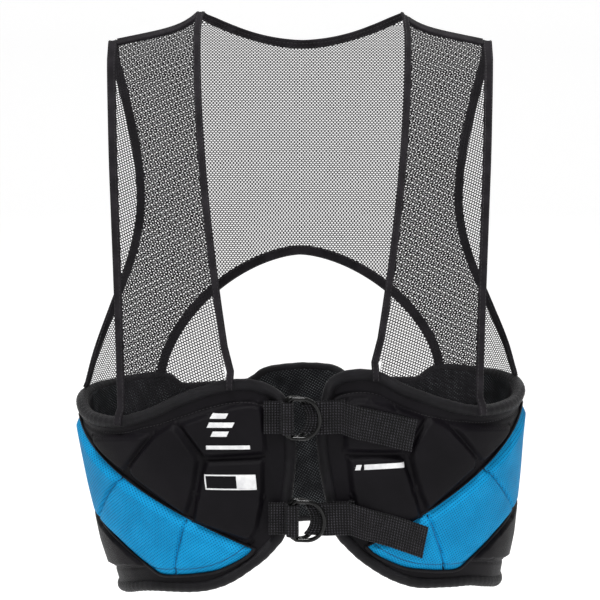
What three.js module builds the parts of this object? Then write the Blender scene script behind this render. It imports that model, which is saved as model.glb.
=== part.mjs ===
// Rib protector: a sleeveless mesh vest that carries a padded belt round the
// lower ribs. The belt closes at the front with two webbing straps, each run
// through a pair of D-rings. Millimetres, +Z up, -Y is the wearer's front and
// the origin lies midway between the two shoulder seams, where the vest rests.

import * as THREE from "three";
import { mergeVertices } from "three/addons/utils/BufferGeometryUtils.js";

// Overall form that the vest and the belt are draped on
const BODY_DROP = 459;          // shoulder seams down to the lowest edge
const BODY_HALF_WIDTH = 192;    // widest half width of the draped form
const BODY_HALF_DEPTH = 106;    // deepest half depth, front and back alike
const BODY_SQUARENESS = 2.25;   // exponent of the plan section, 2 is an ellipse
const BODY_SWAY = 8;            // how far the lowest edge hangs to the right
const BELT_TILT = 0.026;        // the belt hangs a little higher on the right

// Shoulders and neck
const SHOULDER_HALF = 151;      // centre to the outer end of a shoulder seam
const NECK_HALF = 82;           // centre to the inner end of a shoulder seam
const NECK_SHIFT = 2;           // the neck opening lies this far to the right
const SEAM_OUTER_HEIGHT = -11.5;
const SEAM_SLOPE_RISE = 14;     // rise of a shoulder seam towards the neck
const SEAM_PEAK_RISE = 9;       // extra rise of its inner end
const SHOULDER_ROUND = 14;      // height over which front turns into back
const SEAM_TAPE_DROP = 5.5;     // how far the seam tape reaches down each side
const NECK_DIP = 26;            // back neckline below the inner seam ends, at its middle
const NECK_CORNER = 5;          // the same beside the seam ends

// Front strips, armholes and the open arch in the back
const STRIP_FOOT_OUTER = 141.5; // centre to a front strip's outer edge, at the belt
const STRIP_FOOT_INNER = 56;
const ARCH_HALF_WIDTH = 119;
const ARCH_RISE = 99;
const ARCH_ROUNDNESS = 1.65;    // exponent of the arch's outline

// Belt
const BELT_TOP = -300;          // height of the belt's top edge at the sides
const BELT_HEIGHT = 155;
const SIDE_SEAM_TURN = 97;      // degrees round from the front centre
const FULL_TURN = 360;
const SEAM_JOINT_TURN = 0.15;
const CLOSURE_SHIFT = 1.2;      // degrees that the front opening lies to the right
const OPENING_TURN = 4.8;       // degrees from the opening's middle to a belt end
const OPENING_BULGE = 1.8;
const FRONT_INNER = -6;         // offsets from the draped form, outwards positive
const BACK_INNER = -4;
const SHELL_OUTER = 2;
const BACK_OUTER = 5;
const LINING_WALL = 1.7;
const PAD_RISE = 4.5;           // how far the moulded pads stand off the shell
const PAD_SEAT = 0.8;           // the pads' flat facets clear the curved shell by this
const PAD_BEVEL = 4;
const GROOVE_WIDTH = 3;

// Cloth walls, tapes and the rolled belt edge
const GAP = 0.3;
const NET_WALL = 1;
const TAPE_WALL = 2;
const FRONT_TAPE_WIDTH = 5.5;
const ARMHOLE_TAPE_WIDTH = 7.3;
const NECK_TAPE_WIDTH = 8.5;
const ARCH_TAPE_WIDTH = 8;
const ROLL_RADIUS = 5;
const ROLL_OFFSET = -0.5;
const ROLL_SEAT = ROLL_RADIUS + 3 * GAP; // middle of the roll to the cloth above it
const NET_SEAT = 2.5 * GAP;     // edge of a tape to the net beside it

// Webbing closure
const WEBBING_WIDTH = 25.4;
const WEBBING_WALL = 1.6;
const RING_WIRE = 1.7;          // radius of the ring's wire
const BOW_SQUEEZE = 0.92;       // the webbing narrows by this where it turns round a bow
const RING_CLEAR = 1;           // webbing edge to the ring's arm
const UPPER_STRAP_HEIGHT = -300.5;
const LOWER_STRAP_HEIGHT = -380;
const UPPER_TAIL = 84;          // strap end, measured round from the front centre
const LOWER_TAIL = 95;
const UPPER_SEWN = 4.2;           // strap end, counted from the roll beside it
const LOWER_SEWN = 5.5;
const LOOP_TAB_END = -28;
const TAIL_SLOPE = 0.27;        // how much a strap tail drops for its length
const TAIL_SAG = 2;             // how far the tail sinks past the rings

const rad = THREE.MathUtils.degToRad;
const lerp = THREE.MathUtils.lerp;
const clamp = THREE.MathUtils.clamp;

// Smooth curve through a table's rows, read at one value of its key column
function readTable(rows, key, column, at) {
  const last = rows.length - 1;
  if (at <= rows[0][key]) return rows[0][column];
  if (at >= rows[last][key]) return rows[last][column];
  let i = 0;
  while (at > rows[i + 1][key]) i += 1;
  const slope = (j) => {
    const a = rows[Math.max(j - 1, 0)];
    const b = rows[Math.min(j + 1, last)];
    return (b[column] - a[column]) / (b[key] - a[key]);
  };
  const span = rows[i + 1][key] - rows[i][key];
  const t = (at - rows[i][key]) / span;
  const t2 = t * t;
  const t3 = t2 * t;
  return (2 * t3 - 3 * t2 + 1) * rows[i][column] + (t3 - 2 * t2 + t) * span * slope(i)
    + (3 * t2 - 2 * t3) * rows[i + 1][column] + (t3 - t2) * span * slope(i + 1);
}

// Draped form: shares of the drop, the half width, the half depth and the sway
const SECTIONS = [
  { down: -0.030, half: 0.97, deep: 0.08, sway: 0 },
  { down: 0.000, half: 0.98, deep: 0.17, sway: 0 },
  { down: 0.030, half: 0.99, deep: 0.31, sway: 0 },
  { down: 0.110, half: 1.00, deep: 0.54, sway: 0 },
  { down: 0.240, half: 0.99, deep: 0.81, sway: 0 },
  { down: 0.435, half: 0.96, deep: 0.97, sway: 0 },
  { down: 0.630, half: 0.938, deep: 1.00, sway: 0 },
  { down: 0.720, half: 0.918, deep: 1.00, sway: 0.1 },
  { down: 0.870, half: 0.865, deep: 0.96, sway: 0.6 },
  { down: 1.000, half: 0.798, deep: 0.91, sway: 1 },
];

function section(height) {
  const down = -height / BODY_DROP;
  return {
    half: BODY_HALF_WIDTH * readTable(SECTIONS, "down", "half", down),
    deep: BODY_HALF_DEPTH * readTable(SECTIONS, "down", "deep", down),
    sway: BODY_SWAY * readTable(SECTIONS, "down", "sway", down),
  };
}

// Height of the shoulder seam at a distance from the centre
function seamHeight(x) {
  const out = clamp((Math.abs(x) - NECK_HALF) / (SHOULDER_HALF - NECK_HALF), 0, 1);
  return SEAM_OUTER_HEIGHT + SEAM_SLOPE_RISE * (1 - out) + SEAM_PEAK_RISE * (1 - out) ** 6;
}
const SEAM_TOP = seamHeight(NECK_HALF);

// The belt's slight tilt: none on the shoulders, full at the belt's top edge
function tiltAt(height) {
  const belt = clamp((-height - 150) / 120, 0, 1);
  const low = clamp((BELT_TOP - height) / BELT_HEIGHT, 0, 1);
  return BELT_TILT * belt * (1 - 0.55 * low);
}

// A point of the draped form. turn is in degrees: 0 front, 90 right, 180 back.
function formPoint([turn, height]) {
  const power = 2 / BODY_SQUARENESS;
  const s = Math.sin(rad(turn));
  const c = Math.cos(rad(turn));
  const side = Math.sign(s) * Math.abs(s) ** power;
  const z = height + tiltAt(height) * side * BODY_HALF_WIDTH;
  const width = section(z);
  const x = width.sway + width.half * side;
  const seam = seamHeight(x);
  const drop = Math.max(seam - z, 0);
  const lift = (SEAM_TOP - seam) * Math.max(0, 1 - drop / 100);
  const round = clamp(drop / SHOULDER_ROUND, 0, 1);
  const ease = Math.sqrt(1 - (1 - round) ** 2);
  const y = -Math.sign(c) * Math.abs(c) ** power * section(z + lift).deep * ease;
  return new THREE.Vector3(x, y, z);
}

// Two directions along the form and its outward normal at a place
function formFrame(place) {
  const step = 0.02;
  const here = formPoint(place);
  const along = formPoint([place[0] + step, place[1]]).sub(here).divideScalar(step);
  const down = formPoint([place[0], place[1] - step]).sub(here).divideScalar(-step);
  const normal = new THREE.Vector3().crossVectors(along, down).normalize();
  return { here, along, down, normal };
}

function onForm(place, offset = 0) {
  const { here, normal } = formFrame(place);
  return here.addScaledVector(normal, offset);
}

// Moves a place over the form by a distance in a direction of space
function slide(place, direction, distance) {
  const { along, down } = formFrame(place);
  const aa = along.dot(along);
  const ad = along.dot(down);
  const dd = down.dot(down);
  const a = along.dot(direction) * distance;
  const d = down.dot(direction) * distance;
  const det = aa * dd - ad * ad;
  return [place[0] + (a * dd - d * ad) / det, place[1] + (d * aa - a * ad) / det];
}

// Turn of the point that lies at x on the front or the back
function turnOf(x, height, face) {
  const { half, sway } = section(height);
  const share = clamp(Math.abs(x - sway) / half, 0, 0.9995);
  const turn = THREE.MathUtils.radToDeg(Math.asin(share ** (BODY_SQUARENESS / 2)));
  return Math.sign(x - sway) * (face === "front" ? turn : 180 - turn);
}

// Arc length round the form at mid belt, and back to the turn
const ARC_HEIGHT = BELT_TOP - 0.4 * BELT_HEIGHT;
const ARC = [{ turn: 0, arc: 0 }];
for (let turn = 1; turn <= 180; turn += 1) {
  const before = formPoint([turn - 1, ARC_HEIGHT]);
  const arc = ARC[turn - 1].arc + formPoint([turn, ARC_HEIGHT]).distanceTo(before);
  ARC.push({ turn, arc });
}
const arcAt = (turn) => Math.sign(turn) * readTable(ARC, "turn", "arc", Math.abs(turn));
const turnAt = (arc) => Math.sign(arc) * readTable(ARC, "arc", "turn", Math.abs(arc));

const meshes = [];

// Turns a closed shell of vertices and faces into a named mesh that faces outwards
function addBody(name, points, faces, look) {
  let volume = 0;
  for (const [a, b, c] of faces) {
    volume += points[a].dot(new THREE.Vector3().crossVectors(points[b], points[c]));
  }
  const geometry = new THREE.BufferGeometry();
  const flat = points.flatMap((p) => [p.x, p.y, p.z]);
  geometry.setAttribute("position", new THREE.Float32BufferAttribute(flat, 3));
  geometry.setIndex(faces.flatMap(([a, b, c]) => (volume > 0 ? [a, b, c] : [a, c, b])));
  addMesh(name, geometry, look);
}

function addMesh(name, geometry, look) {
  const mesh = new THREE.Mesh(geometry, new THREE.MeshStandardMaterial(look));
  mesh.name = name;
  meshes.push(mesh);
}

// Closed body between two layers of a grid of points
function addLayers(name, low, high, look) {
  const rows = low.length;
  const columns = low[0].length;
  const points = [...low.flat(), ...high.flat()];
  const at = (layer, i, j) => layer * rows * columns + i * columns + j;
  const faces = [];
  const quad = (a, b, c, d) => faces.push([a, b, c], [a, c, d]);
  for (let i = 0; i + 1 < rows; i += 1) {
    for (let j = 0; j + 1 < columns; j += 1) {
      quad(at(0, i, j), at(0, i, j + 1), at(0, i + 1, j + 1), at(0, i + 1, j));
      quad(at(1, i, j), at(1, i + 1, j), at(1, i + 1, j + 1), at(1, i, j + 1));
    }
  }
  for (let j = 0; j + 1 < columns; j += 1) {
    quad(at(0, 0, j), at(1, 0, j), at(1, 0, j + 1), at(0, 0, j + 1));
    quad(at(0, rows - 1, j), at(0, rows - 1, j + 1), at(1, rows - 1, j + 1), at(1, rows - 1, j));
  }
  for (let i = 0; i + 1 < rows; i += 1) {
    quad(at(0, i, 0), at(0, i + 1, 0), at(1, i + 1, 0), at(1, i, 0));
    quad(at(0, i, columns - 1), at(1, i, columns - 1), at(1, i + 1, columns - 1), at(0, i + 1, columns - 1));
  }
  addBody(name, points, faces, look);
}

// Cloth or padding on the form, between two offsets
function addSheet(name, grid, inner, outer, look) {
  const layer = (offset) => grid.map((row) => row.map((place) => onForm(place, offset)));
  addLayers(name, layer(inner), layer(outer), look);
}

// Places that fill a four-sided outline: top and bottom run the same way
function fillOutline(top, bottom, start, end) {
  const rows = start.length - 1;
  const columns = top.length - 1;
  return start.map((_, i) => top.map((__, j) => {
    const v = i / rows;
    const u = j / columns;
    return [0, 1].map((k) => lerp(top[j][k], bottom[j][k], v) + lerp(start[i][k], end[i][k], u)
      - lerp(lerp(top[0][k], top[columns][k], u), lerp(bottom[0][k], bottom[columns][k], u), v));
  }));
}

// Stations of a tape along places on the form; side is its direction to the left
function stations(path, closed = false) {
  const count = path.length;
  const spots = path.map((step) => {
    const { here, normal } = formFrame(step.place);
    return { here: here.addScaledVector(normal, step.offset ?? 0), normal, ...step };
  });
  return spots.map((spot, i) => {
    const before = spots[closed ? (i + count - 1) % count : Math.max(i - 1, 0)];
    const after = spots[closed ? (i + 1) % count : Math.min(i + 1, count - 1)];
    const toward = new THREE.Vector3().subVectors(after.here, before.here).normalize();
    const side = new THREE.Vector3().crossVectors(spot.normal, toward).normalize();
    const up = new THREE.Vector3().crossVectors(toward, side).normalize();
    return { ...spot, side, up };
  });
}

// Closed body swept through stations; the outline is [across, out] pairs
function addSweep(name, spots, outline, look, closed = false) {
  const points = spots.flatMap((spot) => outline(spot).map(([across, out]) => spot.here.clone()
    .addScaledVector(spot.side, across).addScaledVector(spot.up, out)));
  const around = points.length / spots.length;
  const faces = [];
  const last = closed ? spots.length : spots.length - 1;
  for (let i = 0; i < last; i += 1) {
    const next = (i + 1) % spots.length;
    for (let k = 0; k < around; k += 1) {
      const l = (k + 1) % around;
      const [a, b, c, d] = [i * around + k, i * around + l, next * around + l, next * around + k];
      faces.push([a, b, c], [a, c, d]);
    }
  }
  for (let k = 1; !closed && k + 1 < around; k += 1) {
    const end = points.length - around;
    faces.push([0, k + 1, k], [end, end + k, end + k + 1]);
  }
  addBody(name, points, faces, look);
}

const tapeOutline = (width) => {
  const edge = width / 2;
  const flat = edge * 0.8;
  const out = TAPE_WALL / 2;
  return [[-edge, 0], [-flat, -out], [flat, -out], [edge, 0], [flat, out], [-flat, out]];
};

const roundOutline = (radius, sides, first = 0) => Array.from({ length: sides }, (_, k) => {
  const angle = first + (2 * Math.PI * k) / sides;
  return [radius * Math.cos(angle), radius * Math.sin(angle)];
});

// Colours of the cloths
const NET = { color: 0x2b2b2f, roughness: 0.8, metalness: 0 };
const TAPE = { color: 0x1c1a1f, roughness: 0.85, metalness: 0 };
const BLACK = { color: 0x17151a, roughness: 0.9, metalness: 0 };
const BLUE = { color: 0x148fd2, roughness: 0.8, metalness: 0 };
const LINING = { color: 0x20262a, roughness: 0.9, metalness: 0 };
const WEBBING = { color: 0x121214, roughness: 0.7, metalness: 0 };
const PLASTIC = { color: 0x0e0e10, roughness: 0.3, metalness: 0 };

// Belt outline: how far the middle of the rolled edge lies above the belt's top
// line, as shares of the belt's height. turn counts from the opening's middle.
const FRONT_TOP = [
  { turn: 4.6, left: 0.077, right: 0.135 },
  { turn: 6, left: 0.110, right: 0.168 },
  { turn: 8.5, left: 0.142, right: 0.187 },
  { turn: 12, left: 0.159, right: 0.192 },
  { turn: 16, left: 0.155, right: 0.177 },
  { turn: 20, left: 0.139, right: 0.135 },
  { turn: 24, left: 0.116, right: 0.095 },
  { turn: 30, left: 0.074, right: 0.052 },
  { turn: 35, left: 0.032, right: 0.019 },
  { turn: 41, left: -0.006, right: -0.013 },
  { turn: 48, left: -0.039, right: -0.037 },
  { turn: 55, left: -0.052, right: -0.044 },
  { turn: 63, left: -0.052, right: -0.042 },
  { turn: 74, left: -0.037, right: -0.032 },
  { turn: 85, left: 0, right: 0 },
  { turn: 97, left: 0.018, right: 0.018 },
];

// The same for the back's top edge; turn counts from the back centre
const BACK_TOP = [
  { turn: 0, rise: 0.045 },
  { turn: 5, rise: 0.035 },
  { turn: 8, rise: 0.019 },
  { turn: 10, rise: -0.013 },
  { turn: 12.5, rise: -0.037 },
  { turn: 20, rise: -0.042 },
  { turn: 31, rise: -0.040 },
  { turn: 33.5, rise: -0.025 },
  { turn: 36, rise: 0.013 },
  { turn: 39, rise: 0.032 },
  { turn: 45, rise: 0.037 },
  { turn: 58, rise: 0.029 },
  { turn: 70, rise: 0.026 },
  { turn: 83, rise: 0.018 },
];

// Bottom edge, below the top line; turn counts from the front opening's middle
const BOTTOM = [
  { turn: 4.8, fall: 0.50 },
  { turn: 6.5, fall: 0.605 },
  { turn: 8.6, fall: 0.66 },
  { turn: 11.6, fall: 0.72 },
  { turn: 15.1, fall: 0.77 },
  { turn: 19.3, fall: 0.82 },
  { turn: 24, fall: 0.86 },
  { turn: 30, fall: 0.889 },
  { turn: 41, fall: 0.905 },
  { turn: 52, fall: 0.917 },
  { turn: 62, fall: 0.942 },
  { turn: 75, fall: 0.975 },
  { turn: 92, fall: 0.99 },
  { turn: 112, fall: 0.968 },
  { turn: 132, fall: 0.916 },
  { turn: 152, fall: 0.846 },
  { turn: 166, fall: 0.80 },
  { turn: 180, fall: 0.785 },
];

const FRONT_TURNS = [97, 90, 83, 76, 69.5, 63, 56.5, 50.5, 44.5, 39, 34, 29, 24.5,
  20.5, 16.5, 13, 10, 7.6, 5.7];
const BACK_TURNS = [83, 76, 69, 62, 55, 49, 43, 39, 36.3, 34.4, 32, 27, 21, 16, 12.4, 10.4, 8.6, 6, 3, 0];
const PANEL_ROWS = 5;

const frontHeight = (turn, side) => BELT_TOP + BELT_HEIGHT
  * readTable(FRONT_TOP, "turn", side < 0 ? "left" : "right", turn);
const backHeight = (turn) => BELT_TOP + BELT_HEIGHT * readTable(BACK_TOP, "turn", "rise", turn);
const bottomHeight = (turn) => BELT_TOP - BELT_HEIGHT * readTable(BOTTOM, "turn", "fall", turn);

// Turn on the form for a turn counted from the opening's middle, on one side
const panelTurn = (turn, side) => side * turn + CLOSURE_SHIFT * clamp(1 - turn / 60, 0, 1);

// Edges of a front belt panel: side is -1 on the left, 1 on the right
function frontEdges(side) {
  const top = FRONT_TURNS.map((turn) => [panelTurn(turn, side), frontHeight(turn, side)]);
  const bottom = FRONT_TURNS.map((turn) => [panelTurn(turn, side), bottomHeight(turn)]);
  const high = frontHeight(OPENING_TURN, side);
  const low = bottomHeight(OPENING_TURN);
  const inner = Array.from({ length: PANEL_ROWS + 1 }, (_, i) => {
    const share = i / PANEL_ROWS;
    const turn = OPENING_TURN - OPENING_BULGE * Math.sin(Math.PI * (1 - share) ** 1.3);
    return [panelTurn(turn, side), lerp(high, low, share)];
  });
  return { top, bottom, inner };
}

// Moves a run of places to one side of itself over the form
function inset(places, distance) {
  return stations(places.map((place) => ({ place })))
    .map((spot) => slide(spot.place, spot.side, distance));
}

const EDGE_INSET = ROLL_RADIUS + GAP;
const withTurn = (place, turn) => [turn, place[1]];

// Front belt panels: a padded black shell on each side of the opening
function addFrontShell(name, side) {
  const { top, bottom, inner } = frontEdges(side);
  const seam = side * (SIDE_SEAM_TURN - SEAM_JOINT_TURN);
  const whole = inset([...top, ...inner, ...[...bottom].reverse()], side * EDGE_INSET);
  const topIn = [...whole.slice(0, top.length), whole[top.length]];
  const innerIn = whole.slice(top.length, top.length + inner.length);
  const bottomIn = [...whole.slice(top.length + inner.length).reverse(), innerIn[PANEL_ROWS]];
  topIn[0] = withTurn(topIn[0], seam);
  bottomIn[0] = withTurn(bottomIn[0], seam);
  const seamIn = innerIn.map((_, i) => [seam, lerp(topIn[0][1], bottomIn[0][1], i / PANEL_ROWS)]);
  const grid = fillOutline(topIn, bottomIn, seamIn, innerIn);
  addSheet(name, grid, FRONT_INNER, SHELL_OUTER, BLACK);
}
addFrontShell("front_shell_left", -1);
addFrontShell("front_shell_right", 1);

// Back of the belt, from side seam to side seam
const backTurns = [...BACK_TURNS.map((turn) => -180 + turn),
  ...BACK_TURNS.slice(0, -1).reverse().map((turn) => -180 - turn)];
const backTop = backTurns.map((turn) => [turn, backHeight(Math.abs(turn + 180))]);
const backBottom = backTurns.map((turn) => [turn, bottomHeight(180 - Math.abs(turn + 180))]);

function addBackSheet(name, rows, inner, outer, look) {
  const topIn = inset(backTop, EDGE_INSET);
  const bottomIn = inset(backBottom, -EDGE_INSET);
  const seamTurn = SIDE_SEAM_TURN + SEAM_JOINT_TURN;
  const ends = [-seamTurn, seamTurn - FULL_TURN];
  for (const edge of [topIn, bottomIn]) {
    edge[0] = withTurn(edge[0], ends[0]);
    edge[edge.length - 1] = withTurn(edge[edge.length - 1], ends[1]);
  }
  const last = topIn.length - 1;
  const end = (j) => Array.from({ length: rows + 1 }, (_, i) => [
    topIn[j][0], lerp(topIn[j][1], bottomIn[j][1], i / rows)]);
  addSheet(name, fillOutline(topIn, bottomIn, end(0), end(last)), inner, outer, look);
}
addBackSheet("back_shell", 5, BACK_INNER, BACK_OUTER, BLACK);
addBackSheet("back_lining", 3, BACK_INNER - GAP - LINING_WALL, BACK_INNER - GAP, LINING);

// Rolled binding: one tape all the way round the belt's edge
function addBeltBinding() {
  const left = frontEdges(-1);
  const right = frontEdges(1);
  const round = [
    ...left.top, ...left.inner, ...[...left.bottom].reverse(),
    ...backBottom.slice(1, -1),
    ...right.bottom.map(([turn, height]) => [turn - FULL_TURN, height]),
    ...[...right.inner].reverse().map(([turn, height]) => [turn - FULL_TURN, height]),
    ...[...right.top].reverse().map(([turn, height]) => [turn - FULL_TURN, height]),
    ...[...backTop].reverse().slice(1, -1),
  ];
  const path = round.map((place) => ({ place, offset: ROLL_OFFSET }));
  const outline = () => roundOutline(ROLL_RADIUS, 6);
  addSweep("belt_binding", stations(path, true), outline, TAPE, true);
}
addBeltBinding();

// Moulded pads. Corners are turn from the front centre and share of the belt's
// height below its top line, in order round each pad.
const PADS = [
  { name: "upper_front_pad", look: BLACK, across: 4, down: 3,
    corners: [[28, 0], [8, -0.088], [7.9, 0.165], [23.2, 0.21]] },
  { name: "lower_front_pad", look: BLACK, across: 4, down: 4,
    corners: [[23.2, 0.215], [8, 0.205], [12.9, 0.66], [29.6, 0.525]] },
  { name: "diamond_pad", look: BLACK, across: 4, down: 4,
    corners: [[32.6, 0.025], [23.8, 0.21], [30, 0.52], [50.8, 0.325]] },
  { name: "side_pad", look: BLACK, across: 6, down: 3,
    corners: [[51.2, 0.315], [36.5, 0.075], [58, 0.125], [80, 0.105]] },
  { name: "blue_side_pad", look: BLUE, across: 6, down: 5,
    corners: [[53, 0.345], [96, 0.055], [96, 0.50], [75.5, 0.58]] },
  { name: "blue_middle_pad", look: BLUE, across: 5, down: 4,
    corners: [[53, 0.345], [75.5, 0.58], [39.5, 0.85], [31, 0.535]] },
  { name: "blue_front_pad", look: BLUE, across: 3, down: 3,
    corners: [[31, 0.535], [12.8, 0.685], [21.5, 0.795], [39.5, 0.85]] },
  { name: "lower_side_pad", look: BLACK, across: 7, down: 3,
    corners: [[75.5, 0.60], [96, 0.51], [96, 0.945], [46.5, 0.86]] },
];

// Moves each side of a flat four-sided outline inwards by a distance
function shrink(corners, distance) {
  const lines = corners.map((a, i) => {
    const b = corners[(i + 1) % 4];
    const length = Math.hypot(b[0] - a[0], b[1] - a[1]);
    return { at: a, way: [(b[0] - a[0]) / length, (b[1] - a[1]) / length] };
  });
  const area = corners.reduce((sum, a, i) => {
    const b = corners[(i + 1) % 4];
    return sum + a[0] * b[1] - a[1] * b[0];
  }, 0);
  const turn = Math.sign(area) * distance;
  const moved = lines.map(({ at, way }) => ({
    at: [at[0] - way[1] * turn, at[1] + way[0] * turn], way }));
  return moved.map((line, i) => {
    const back = moved[(i + 3) % 4];
    const cross = back.way[0] * line.way[1] - back.way[1] * line.way[0];
    const gap = [line.at[0] - back.at[0], line.at[1] - back.at[1]];
    const t = (gap[0] * line.way[1] - gap[1] * line.way[0]) / cross;
    return [back.at[0] + back.way[0] * t, back.at[1] + back.way[1] * t];
  });
}

function addPad(pad, side) {
  const flat = pad.corners.map(([turn, fall]) => [
    arcAt(panelTurn(turn, side)), BELT_TOP - BELT_HEIGHT * fall]);
  const grid = (distance, offset) => {
    const [a, b, c, d] = shrink(flat, distance);
    return Array.from({ length: pad.down + 1 }, (_, i) => Array.from({ length: pad.across + 1 }, (__, j) => {
      const v = i / pad.down;
      const u = j / pad.across;
      const [arc, height] = [0, 1].map((k) => lerp(lerp(a[k], b[k], u), lerp(d[k], c[k], u), v));
      return onForm([turnAt(arc), height], offset);
    }));
  };
  const base = grid(GROOVE_WIDTH / 2, SHELL_OUTER + PAD_SEAT);
  const crown = grid(GROOVE_WIDTH / 2 + PAD_BEVEL, SHELL_OUTER + PAD_SEAT + PAD_RISE);
  addLayers(`${pad.name}_${side < 0 ? "left" : "right"}`, base, crown, pad.look);
}
for (const side of [-1, 1]) for (const pad of PADS) addPad(pad, side);

// Height of the belt's top roll at a place on the front or the back
function rollHeight(turn) {
  const round = Math.abs(turn);
  if (round > SIDE_SEAM_TURN) return backHeight(180 - round);
  const side = Math.sign(turn);
  return frontHeight(Math.abs(turn - CLOSURE_SHIFT * clamp(1 - round / 60, 0, 1)), side);
}

// The place where an edge that runs down at x meets the top roll
function footPlace(x, face, above) {
  let height = BELT_TOP;
  for (let pass = 0; pass < 6; pass += 1) height = rollHeight(turnOf(x, height, face)) + above;
  return [turnOf(x, height, face), height];
}

// Front strip edges: share runs from the shoulder, 0, to the belt, 1
const stripInner = (share) => NECK_HALF + 2 - (NECK_HALF + 2 - STRIP_FOOT_INNER) * share ** 1.6;
const stripOuter = (share) => STRIP_FOOT_OUTER + (SHOULDER_HALF - STRIP_FOOT_OUTER) * (1 - share) ** 1.6;

// Armhole edge on the back: shares of the way from the shoulder to the belt's side
const ARMHOLE = [
  { down: 0, out: 0 },
  { down: 0.14, out: -0.28 },
  { down: 0.3, out: -0.54 },
  { down: 0.45, out: -0.62 },
  { down: 0.55, out: -0.5 },
  { down: 0.65, out: -0.22 },
  { down: 0.77, out: 0.25 },
  { down: 0.9, out: 0.74 },
  { down: 1, out: 1 },
];
const ARMHOLE_FOOT_TURN = 98;

// Places round a shoulder from front to back at one distance from the centre
function overShoulder(x, shift, degrees) {
  const at = x + shift;
  const height = seamHeight(at) - SHOULDER_ROUND * (1 - Math.cos(rad(Math.abs(degrees))));
  return [turnOf(at, height, degrees < 0 ? "front" : "back"), height];
}
const SHOULDER_STEPS = [-62, -38, -16, 16, 38, 62];

// Edge of a front strip from the belt roll up to the shoulder, without the foot
const footX = (side, edgeAt) => side * edgeAt(1) + (edgeAt === stripInner ? NECK_SHIFT : 0);
function stripEdge(side, edgeAt, steps) {
  const [, low] = footPlace(footX(side, edgeAt), "front", 0);
  const shift = edgeAt === stripInner ? NECK_SHIFT : 0;
  const high = seamHeight(edgeAt(0)) - SHOULDER_ROUND;
  return Array.from({ length: steps }, (_, i) => {
    const share = 1 - (i + 1) / steps;
    const height = lerp(high, low, share);
    return [turnOf(side * edgeAt(share) + shift, height, "front"), height];
  });
}

// The foot of a strip's tape climbs over the roll and ends on its outside:
// heights in roll radii above its middle, offsets as shares of the way over it
const FOOT = [
  { above: 0.4, out: 1 },
  { above: 1.3, out: 0.6 },
  { above: 2.2, out: 0 },
];
function stripFoot(side, edgeAt, below) {
  const x = footX(side, edgeAt);
  const over = ROLL_OFFSET + ROLL_RADIUS * Math.cos(Math.PI / 6) + NET_SEAT + TAPE_WALL / 2;
  const climb = FOOT.map(({ above, out }) => ({
    place: footPlace(x, "front", ROLL_RADIUS * above), offset: over * out }));
  return [{ place: footPlace(x, "front", -below), offset: over }, ...climb];
}

const STRIP_STEPS = 9;

// Armhole tape: up the front strip's outer edge, over the shoulder, down the back
function armholePath(side) {
  const front = stripEdge(side, stripOuter, STRIP_STEPS).map((place) => ({ place, part: "front" }));
  const over = SHOULDER_STEPS.map((degrees) => ({
    place: overShoulder(side * SHOULDER_HALF, 0, degrees), part: "over" }));
  const high = seamHeight(SHOULDER_HALF) - SHOULDER_ROUND;
  const foot = [side * ARMHOLE_FOOT_TURN, rollHeight(side * ARMHOLE_FOOT_TURN) + ROLL_SEAT + TAPE_WALL];
  const low = Math.abs(formPoint(foot).x);
  const steps = 10;
  const back = Array.from({ length: steps + 1 }, (_, i) => {
    const share = i / steps;
    const height = lerp(high, foot[1], share);
    const x = lerp(SHOULDER_HALF, low, readTable(ARMHOLE, "down", "out", share));
    return { place: i === steps ? foot : [turnOf(side * x, height, "back"), height], part: "back" };
  });
  return [...stripFoot(side, stripOuter, ROLL_RADIUS), ...front, ...over, ...back];
}

// Back neckline: depth of its dip at a distance from the centre
const neckHeight = (x) => SEAM_TOP - NECK_DIP
  + (NECK_DIP - NECK_CORNER) * Math.abs(x / NECK_HALF) ** 1.8;

// Neckline tape: up one front strip, round the back of the neck, down the other
function neckPath() {
  const half = (side) => [
    ...stripFoot(side, stripInner, 0.5),
    ...stripEdge(side, stripInner, STRIP_STEPS).map((place) => ({ place, part: "front" })),
    ...SHOULDER_STEPS.map((degrees) => ({
      place: overShoulder(side * (NECK_HALF + (degrees < 0 ? -degrees / 45 : 0)), NECK_SHIFT, degrees),
      part: "over" })),
  ];
  const behind = [0.93, 0.84, 0.73, 0.6, 0.46, 0.31, 0.155, 0];
  const spread = [...behind.map((share) => -share), ...[...behind].reverse().slice(1)];
  const back = spread.map((share) => {
    const height = neckHeight(share * NECK_HALF);
    return { place: [turnOf(share * NECK_HALF + NECK_SHIFT, height, "back"), height], part: "back" };
  });
  return [...half(-1), ...back, ...half(1).reverse()];
}

const armholes = { left: stations(armholePath(-1)), right: stations(armholePath(1)) };
const neck = stations(neckPath());
const armholeOutline = () => tapeOutline(ARMHOLE_TAPE_WIDTH);
addSweep("armhole_binding_left", armholes.left, armholeOutline, TAPE);
addSweep("armhole_binding_right", armholes.right, armholeOutline, TAPE);
const neckWidth = (part) => (part === "back" ? NECK_TAPE_WIDTH : FRONT_TAPE_WIDTH);
addSweep("neckline_binding", neck, (spot) => tapeOutline(neckWidth(spot.part)), TAPE);

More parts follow.
